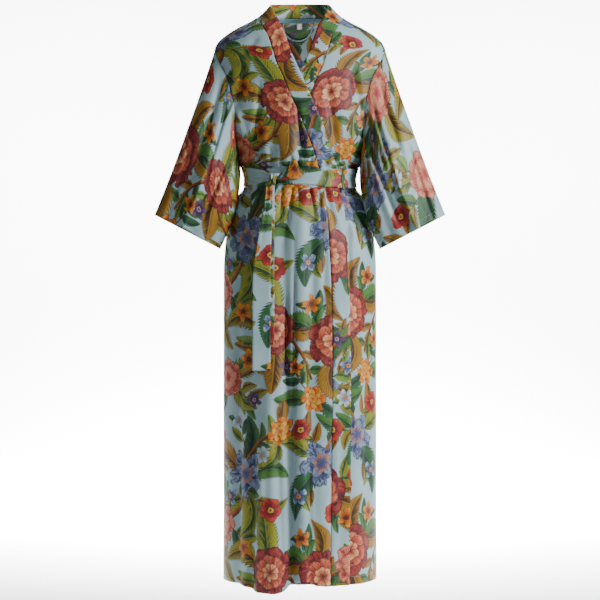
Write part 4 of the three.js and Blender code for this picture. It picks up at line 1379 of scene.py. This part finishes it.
def beltWrap(name):
    around = belt["around"]
    turn = (2 * math.pi * np.arange(around) / around)[None, :]
    share = np.linspace(0, 1, belt["rows"] + 1)[:, None]
    turn, share = np.broadcast_arrays(turn, share)
    frontX = belt["frontX"] * np.cos(turn)
    x = np.where(turn < math.pi, np.sign(np.cos(turn)) * belt["backX"], frontX)
    z = mix(beltTopAt(x), beltFootAt(x), share)
    near = np.exp(-((frontX - knot["x"]) / belt["knotReach"]) ** 2) * (turn > math.pi)
    wave = np.cos(2 * math.pi * share * belt["creases"] + belt["creaseLean"] * x)
    pleats = wave * belt["creaseDepth"] * (belt["calm"] + near) / 2
    edges = belt["edgeRoll"] * (roll(share, belt["edgeReach"]) + roll(1 - share, belt["edgeReach"]))
    grid = beltSurface(turn, z, cloth["foldedWall"] + belt["stand"] + pleats - edges)
    inward = grid - beltSurface(turn, z, 0.0 * turn)
    thick = np.linalg.norm(inward, axis=-1, keepdims=True)
    inward = inward / thick * np.maximum(thick, belt["thinnest"])
    obj = clothWall(name, grid, 1.0, arcUv(grid, around // 2, True), True, inward)
    return printedPiece(obj, name, belt["shift"], belt["turn"])


def beltFrontAt(x, z):
    out = cloth["wrapLift"] + belt["clear"] + cloth["foldedWall"]
    return float(robePoint(turnAt(x, z), z, front, out, 0, 0)[1])


def beltKnot(name):
    down, u = shares(knot["rows"], knot["columns"])
    a = knot["wrap"] * down
    nearEdge = knot["x"] + knot["reach"] * knot["halfWidth"]
    rest = min(beltFrontAt(nearEdge, knot["z"] + k * knot["rise"]) for k in (1, 0, -1)) + knot["clear"]
    ends = (2 * u - 1) ** 4
    folds = knot["foldDepth"] * np.cos(2 * math.pi * knot["folds"] * (u - knot["foldTwist"] * a))
    swell = 1 - knot["shoulder"] * ends - folds * (1 - ends)
    spread = (1 + knot["flare"] * np.cos(a) ** 2) * (1 - knot["pinch"] + knot["pinch"] * np.cos(2 * a))
    x = knot["x"] + (2 * u - 1) * knot["halfWidth"] * spread + knot["lean"] * np.cos(a)
    y = rest - knot["bulge"] * np.sin(a) * swell
    grid = np.stack([x, y, knot["z"] + knot["rise"] * np.cos(a)], axis=-1)
    return beltPiece(name, grid, knot, knot["shift"], normalsFacing(grid, front))


def beltEar(name):
    w, u = shares(ear["rows"], ear["columns"])
    x = mix(ear["left"], ear["right"], u)
    peak = (ear["peak"] - ear["left"]) / (ear["right"] - ear["left"])
    height = np.where(u < peak, ease(u / peak), ease((1 - u) / (1 - peak)))
    tip = ease((u - ear["tipFrom"]) / (1 - ear["tipFrom"]))
    foot = ear["foot"] - ear["slope"] * (1 - u) + ear["tipRise"] * tip
    low = foot + mix(ear["lowLeft"], ear["lowRight"], u)
    z = mix(foot, mix(low, ear["top"], height ** ear["roundness"]), w)
    fronts = np.minimum.accumulate([beltFrontAt(0, k) for k in ear["groundLevels"]])
    fan = np.arctan2(z - ear["foot"] + ear["fanFrom"], x - ear["left"] + ear["fanFrom"])
    fold = np.cos(ear["folds"] * fan + ear["foldPhase"])
    fold = fold * np.sin(math.pi * np.clip(u * ear["foldSpan"], 0, 1))
    topEdge = ear["topRoll"] * np.exp(-((1 - w) / ear["topReach"]) ** 2)
    sideEdge = ear["sideRoll"] * np.exp(-((1 - u) / ear["sideReach"]) ** 2)
    bulge = ear["bulge"] * np.sin(math.pi * u) * (1 - ear["droop"] * w) + ear["foldDepth"] * fold
    y = np.interp(z, ear["groundLevels"], fronts) - bulge + topEdge + sideEdge - cloth["foldedWall"]
    return beltPiece(name, np.stack([x, y, z], axis=-1), ear, ear["shift"])


groundLevels = np.linspace(-860, -390, 95)
groundAcross = np.arange(-116, -32, 7.0)[None, :]
groundTurn = turnAt(groundAcross, groundLevels[:, None])
groundFront = outerLayer(groundTurn, groundLevels[:, None], 0.0)[..., 1].min(axis=1)


def beltEnd(name, spec):
    t, u = shares(endLook["rows"], endLook["columns"])
    t = t ** 1.2
    z = mix(endLook["z"], spec["foot"], t) + spec["slant"] * (u - 0.5) * t
    fallen = ease((endLook["z"] - z) / endLook["fall"])
    width = mix(endLook["width"], cloth["foldedWidth"], fallen)
    x = mix(spec["xTop"], spec["xFoot"], fallen) + (u - 0.5) * width
    onBelt = z > beltFootAt(knot["x"]) - endLook["underKnot"]
    beltY = np.where(onBelt, beltFrontAt(knot["x"] + knot["halfWidth"], endLook["knotLevel"]), 0)
    ground = np.minimum(beltY, np.interp(z, groundLevels, groundFront)) - endLook["clear"] - spec["layer"]
    ripple = np.sin(z / endLook["waveDown"] + x / endLook["waveAcross"]) * fallen
    pleat = endLook["pleat"] * np.cos(3 * math.pi * u + endLook["pleatPhase"])
    pleat = pleat * (1 - fallen) * ease((endLook["z"] - z) / endLook["pleatFade"])
    edges = endLook["edgeRoll"] * (roll(u, endLook["edgeReach"]) + roll(1 - u, endLook["edgeReach"]))
    grid = np.stack([x, ground - ripple - pleat + edges, z], axis=-1)
    return beltPiece(name, grid, endLook, spec["shift"])


def beltLoop(name, spec):
    t, across = shares(loopStrip["rows"], loopStrip["columns"])
    across = across - 0.5
    turn = turnAt(spec["x"], beltMiddle)
    perMm = 1 / math.hypot(halfAt(beltMiddle) * math.sin(turn), frontDepthAt(beltMiddle) * math.cos(turn))
    z = mix(beltTopAt(spec["x"]) + loopStrip["beyond"], beltFootAt(spec["x"]) - loopStrip["beyond"], t)
    over = belt["clear"] + cloth["foldedWall"] + loopStrip["over"]
    stand = mix(loopStrip["seat"], over, ease(np.sin(math.pi * t) / loopStrip["climb"]))
    reach = cloth["wrapLift"] + loopStrip["wall"] + stand
    fromEdge = (0.5 - np.abs(across)) * loopStrip["width"]
    edge = loopStrip["edgeRoll"] * np.exp(-(fromEdge / loopStrip["edgeReach"]) ** 2)
    turn = turn + across * loopStrip["width"] * perMm
    grid = robePoint(turn, z, front, reach - edge, 0, 0)
    inner = robePoint(turn, z, front, reach - loopStrip["wall"], 0, 0)
    shiftX, shiftY = loopStrip["shift"]
    return beltPiece(name, grid, loopStrip, (shiftX, shiftY + spec["x"]), grid - inner, 1.0)


beltWrap("belt_wrap")
beltKnot("belt_knot")
beltEar("belt_knot_ear")
for name, spec in beltEnds.items():
    beltEnd(name, spec)
for name, spec in beltLoops.items():
    beltLoop(name, spec)
print("robe: belt")

# Inside the back of the neck

tape = {
    "halfLength": 57,
    "top": 7.4,
    "foot": -1.2,
    "wall": 0.9,
    "clear": 1.0,
    "toLoop": 0.6,
    "colour": "#5C8496",
    "roughness": 0.85,
    "threads": 5200,
    "threadDepth": 0.0004,
}
hanger = {
    "left": -38,
    "right": 28,
    "drop": 37,
    "width": 4,
    "wall": 1.2,
    "clear": 1.2,
    "thin": 0.55,  # share of its thickness at its edges
    "shift": (422, 350),
}
sizeLabel = {
    "x": -1,
    "halfWidth": 6,
    "height": 13,
    "wall": 0.5,
    "clear": 0.6,
    "colour": "#F1EFE9",
    "roughness": 0.8,
    "threads": 9000,
    "threadDepth": 0.0002,
}
belowTape = tape["foot"] - tape["toLoop"]


def insideBack(x, z, inward):
    turn = turnAt(x, z)
    turnStep, levelStep = 0.002, 0.5
    along = backLayer(turn + turnStep, z, 0, 0) - backLayer(turn - turnStep, z, 0, 0)
    up = backLayer(turn, z + levelStep, 0, 0) - backLayer(turn, z - levelStep, 0, 0)
    normal = np.cross(along, up)
    normal = normal / np.linalg.norm(normal, axis=-1, keepdims=True)
    normal = np.where(normal[..., 1:2] < 0, -normal, normal)
    return backLayer(turn, z, 0, 0) - normal * (cloth["wall"] + np.asarray(inward))[..., None]


def darker(hexColour, share):
    return tuple(c * share for c in linear(hexColour)[:3]) + (1.0,)


def plainCloth(name, look):
    # plain woven cloth: a fine rib of threads keeps it from looking like plastic
    material, tree, shader = newMaterial(name)
    place = parts(tree, addNode(tree, "UVMap", uv_map="cloth"))
    ribs = calc(tree, "SINE", calc(tree, "MULTIPLY", place[0], look["threads"]))
    picks = calc(tree, "SINE", calc(tree, "MULTIPLY", place[1], look["threads"] * 0.8))
    weave = calc(tree, "MULTIPLY", ribs, picks)
    shade = ramp(tree, weave, -1.0, 1.0, 0.0, 0.22)
    fill(tree, shader, {
        "Base Color": blend(tree, shade, linear(look["colour"]), darker(look["colour"], 0.55)),
        "Normal": bumpOf(tree, weave, 0.5, look["threadDepth"]),
        "Roughness": look["roughness"],
    })
    return material


def stripInside(name, gridAt, rows, columns, look):
    # a strip laid on the inside of the back; its seen face looks forward
    down, across = shares(rows, columns)
    seen = gridAt(down, across, look["clear"] + look["wall"])
    hidden = gridAt(down, across, look["clear"])
    return clothWall(name, seen, 1.0, arcUv(seen, columns // 2), False, seen - hidden)


def tapeGrid(down, across, inward):
    x = mix(-tape["halfLength"], tape["halfLength"], across)
    return insideBack(x, mix(tape["top"], tape["foot"], down), inward + 0 * x)


def hangerGrid(down, across, inward):
    a = math.pi * down
    middle, reach = (hanger["left"] + hanger["right"]) / 2, (hanger["right"] - hanger["left"]) / 2
    wide = across * hanger["width"]
    x = middle - reach * np.cos(a) * (1 + wide / reach)
    z = belowTape - (hanger["drop"] + wide) * np.sin(a) ** 0.8
    full = mix(hanger["thin"], 1, np.sin(math.pi * across))
    return insideBack(x, z, inward * full)


def labelGrid(down, across, inward):
    x = sizeLabel["x"] + (2 * across - 1) * sizeLabel["halfWidth"]
    return insideBack(x, belowTape - down * sizeLabel["height"], inward + 0 * x)


neckTape = stripInside("neck_tape", tapeGrid, 6, 60, tape)
finishPiece(neckTape, "neck_tape", plainCloth("woven neck tape", tape))
loopMesh = stripInside("hanging_loop", hangerGrid, 80, 6, hanger)
printedPiece(loopMesh, "hanging_loop", hanger["shift"])
labelMesh = stripInside("size_label", labelGrid, 6, 6, sizeLabel)
finishPiece(labelMesh, "size_label", plainCloth("white woven label", sizeLabel))
print("robe: neck tape, loop and label")

# Stitching

stitching = {
    "length": 2.6,
    "pitch": 3.4,
    "thread": 0.34,  # half its thickness
    "above": 18,  # turned hem
    "vary": (0.9, 1.05),
    "proud": 0.25,
    "ends": 0.004,  # share of a panel's width left free at either side
    "points": 240,
    "tapeProud": 0.1,
    "tapeInset": 1.4,
    "tapeEnds": 1,
    "seed": 5,
}


def threadMaterial(name, colour):
    # spun thread: matt, with painted light and shade along its twist, where it would catch a little light
    material, tree, shader = newMaterial(name)
    paintedTwistLight = noise(tree, addNode(tree, "TexCoord").outputs["Object"], 900.0, 1.0, 0.5)
    # the noise paints lighter and darker flecks that stand in for light on the twisted thread
    tone = blend(tree, paintedTwistLight, linear(colour), darker(colour, 0.6))
    fill(tree, shader, {"Base Color": tone, "Roughness": 0.8})
    return material


def stitchTree(material):
    # a stitch on every step of a path, each laid along it
    tree = bpy.data.node_groups.new("running stitch", "GeometryNodeTree")
    kinds = {"Path": "Geometry", "Stitch length": "Float", "Pitch": "Float", "Thread": "Float", "Seed": "Int"}
    for label, kind in kinds.items():
        tree.interface.new_socket(label, in_out="INPUT", socket_type="NodeSocket" + kind)
    tree.interface.new_socket("Stitches", in_out="OUTPUT", socket_type="NodeSocketGeometry")
    new = tree.nodes.new
    given, result = new("NodeGroupInput"), new("NodeGroupOutput")
    curve, even = new("GeometryNodeMeshToCurve"), new("GeometryNodeResampleCurve")
    stitch, place = new("GeometryNodeMeshCylinder"), new("GeometryNodeInstanceOnPoints")
    tangent, align = new("GeometryNodeInputTangent"), new("FunctionNodeAlignRotationToVector")
    real, paint = new("GeometryNodeRealizeInstances"), new("GeometryNodeSetMaterial")
    vary = new("FunctionNodeRandomValue")
    even.mode = "LENGTH"
    align.axis = "Z"
    least, most = vary.inputs[2], vary.inputs[3]
    least.default_value, most.default_value = stitching["vary"]
    asked = given.outputs
    fill(tree, curve, {0: asked["Path"]})
    fill(tree, even, {"Curve": curve, "Length": asked["Pitch"]})
    fill(tree, stitch, {"Vertices": 6, "Radius": asked["Thread"], "Depth": asked["Stitch length"]})
    fill(tree, align, {"Vector": tangent})
    fill(tree, vary, {"Seed": asked["Seed"]})
    fill(tree, place, {"Points": even, "Instance": stitch, "Rotation": align, "Scale": vary.outputs[1]})
    fill(tree, real, {0: place})
    fill(tree, paint, {"Geometry": real, "Material": material})
    fill(tree, result, {0: paint})
    return tree


def stitchedPaths():
    # the paths of the hem and cuff stitching, just proud of the cloth
    z = np.array(hemLevel + stitching["above"])
    share = np.linspace(stitching["ends"], 1 - stitching["ends"], stitching["points"])
    paths = [spec["layer"](*panelPlace(spec, z, share), stitching["proud"]) for spec in panels.values()]
    for spec in sleevePieces.values():
        ring = np.linspace(0, 2 * math.pi, stitching["points"])
        v = np.full(ring.shape, 1 - stitching["above"] / sleeves["length"])
        points = sleevePoint(ring, v, spec["hand"])
        away = points - points.mean(axis=0)
        paths.append(points + away / np.linalg.norm(away, axis=-1, keepdims=True) * stitching["proud"])
    return paths


def neckStitchPaths():
    reach = tape["halfLength"] - stitching["tapeEnds"]
    x = np.linspace(-reach, reach, stitching["points"] // 2)
    levels = tape["top"] - stitching["tapeInset"], tape["foot"] + stitching["tapeInset"]
    out = tape["clear"] + tape["wall"] + stitching["tapeProud"]
    return [insideBack(x, np.full(x.shape, level), out) for level in levels]


def sew(name, paths, material):
    verts, edges = [], []
    for path in paths:
        first = len(verts)
        verts += [tuple(p / 1000) for p in path]
        edges += [(first + k, first + k + 1) for k in range(len(path) - 1)]
    route = bpy.data.meshes.new(name)
    route.from_pydata(verts, edges, [])
    obj = bpy.data.objects.new(name, route)
    bpy.context.scene.collection.objects.link(obj)
    modifier = obj.modifiers.new("stitches", "NODES")
    tree = stitchTree(material)
    modifier.node_group = tree
    sizes = {"Stitch length": stitching["length"] / 1000, "Pitch": stitching["pitch"] / 1000,
             "Thread": stitching["thread"] / 1000, "Seed": stitching["seed"]}
    for item in tree.interface.items_tree:
        if item.in_out == "INPUT" and item.name in sizes:
            modifier[item.identifier] = sizes[item.name]
    sewn = bpy.data.meshes.new_from_object(obj.evaluated_get(bpy.context.evaluated_depsgraph_get()))
    obj.modifiers.clear()
    obj.data = sewn
    sewn.name = name
    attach(obj, "root")
    print("robe: stitches", name, len(sewn.polygons))


sew("hem_stitches", stitchedPaths(), threadMaterial("ground coloured thread", "#7F9AA1"))
sew("tape_stitches", neckStitchPaths(), threadMaterial("pale thread", "#9DB9C2"))

# Room, light and camera

room = {
    "floor": -1.425,
    "floorStart": -0.7,
    "backWall": 5.0,
    "wallTop": 5.0,
    "bend": 1.0,
    "halfWidth": 1.9,
    "colour": "#FBFBFB",
    "roughness": 0.9,
    "world": 0.16,
}
view = {"away": 4.2, "height": -0.671, "width": 1.428, "sensor": 36}
lamps = rowsOf(
    "name place target power size",
    ("key_light", (2.6, -1.7, 0.6), (0, 0, -0.6), 192, 0.9),
    ("fill_light", (-2.0, -3.2, 0.0), (0, 0, -0.7), 19, 2.0),
    ("top_light", (0.2, -0.6, 2.0), (0, 0, -0.5), 12, 1.2),
    ("wall_light", (-1.9, 2.5, 0.4), (-0.4, room["backWall"], -0.7), 560, 1.0),
    ("wall_light", (1.9, 2.5, 0.4), (0.4, room["backWall"], -0.7), 560, 1.0),
    ("floor_light", (0, 2.5, 1.5), (0, 2.6, room["floor"]), 820, 1.2),
    ("neck_light", (0, -0.03, -0.27), (0, 0.05, -0.02), 0.45, 0.1),
)
lampSpread = {"floor_light": 92}


def areaLight(name, place, target, power, size):
    data = bpy.data.lights.new(name, "AREA")
    data.spread = math.radians(lampSpread.get(name, 180))
    data.energy = power
    data.shape = "DISK"
    data.size = size
    obj = bpy.data.objects.new(name, data)
    obj.location = place
    obj.rotation_euler = (Vector(target) - obj.location).to_track_quat("-Z", "Y").to_euler()
    obj.visible_camera = name != "neck_light"  # this one hangs inside the robe
    bpy.context.scene.collection.objects.link(obj)


def sweep():
    # a seamless pale studio sweep: floor, curve and wall
    floor, wall, bend = room["floor"], room["backWall"], room["bend"]
    profile = [(room["floorStart"], floor), (wall - bend, floor)]
    for k in range(1, 13):
        a = math.pi / 2 * k / 12
        profile.append((wall - bend + bend * math.sin(a), floor + bend - bend * math.cos(a)))
    profile.append((wall, room["wallTop"]))
    verts = [(x, y, z) for y, z in profile for x in (-room["halfWidth"], room["halfWidth"])]
    faces = [(2 * k, 2 * k + 1, 2 * k + 3, 2 * k + 2) for k in range(len(profile) - 1)]
    mesh = bpy.data.meshes.new("studio_sweep")
    mesh.from_pydata(verts, [], faces)
    for polygon in mesh.polygons:
        polygon.use_smooth = True
    obj = bpy.data.objects.new("studio_sweep", mesh)
    material, tree, shader = newMaterial("pale studio paper")
    fill(tree, shader, {"Base Color": linear(room["colour"]), "Roughness": room["roughness"]})
    mesh.materials.append(material)
    bpy.context.scene.collection.objects.link(obj)


sweep()
for lamp in lamps:
    areaLight(**lamp)
world = bpy.data.worlds.new("studio")
world.use_nodes = True
world.node_tree.nodes["Background"].inputs[0].default_value = (1, 1, 1, 1)
world.node_tree.nodes["Background"].inputs[1].default_value = room["world"]
bpy.context.scene.world = world

cameraData = bpy.data.cameras.new("camera")
cameraData.sensor_width = view["sensor"]
cameraData.lens = view["sensor"] * view["away"] / view["width"]
camera = bpy.data.objects.new("camera", cameraData)
camera.location = (0, -view["away"], view["height"])
camera.rotation_euler = (math.pi / 2, 0, 0)
bpy.context.scene.collection.objects.link(camera)
bpy.context.scene.camera = camera
print("robe: room and camera")
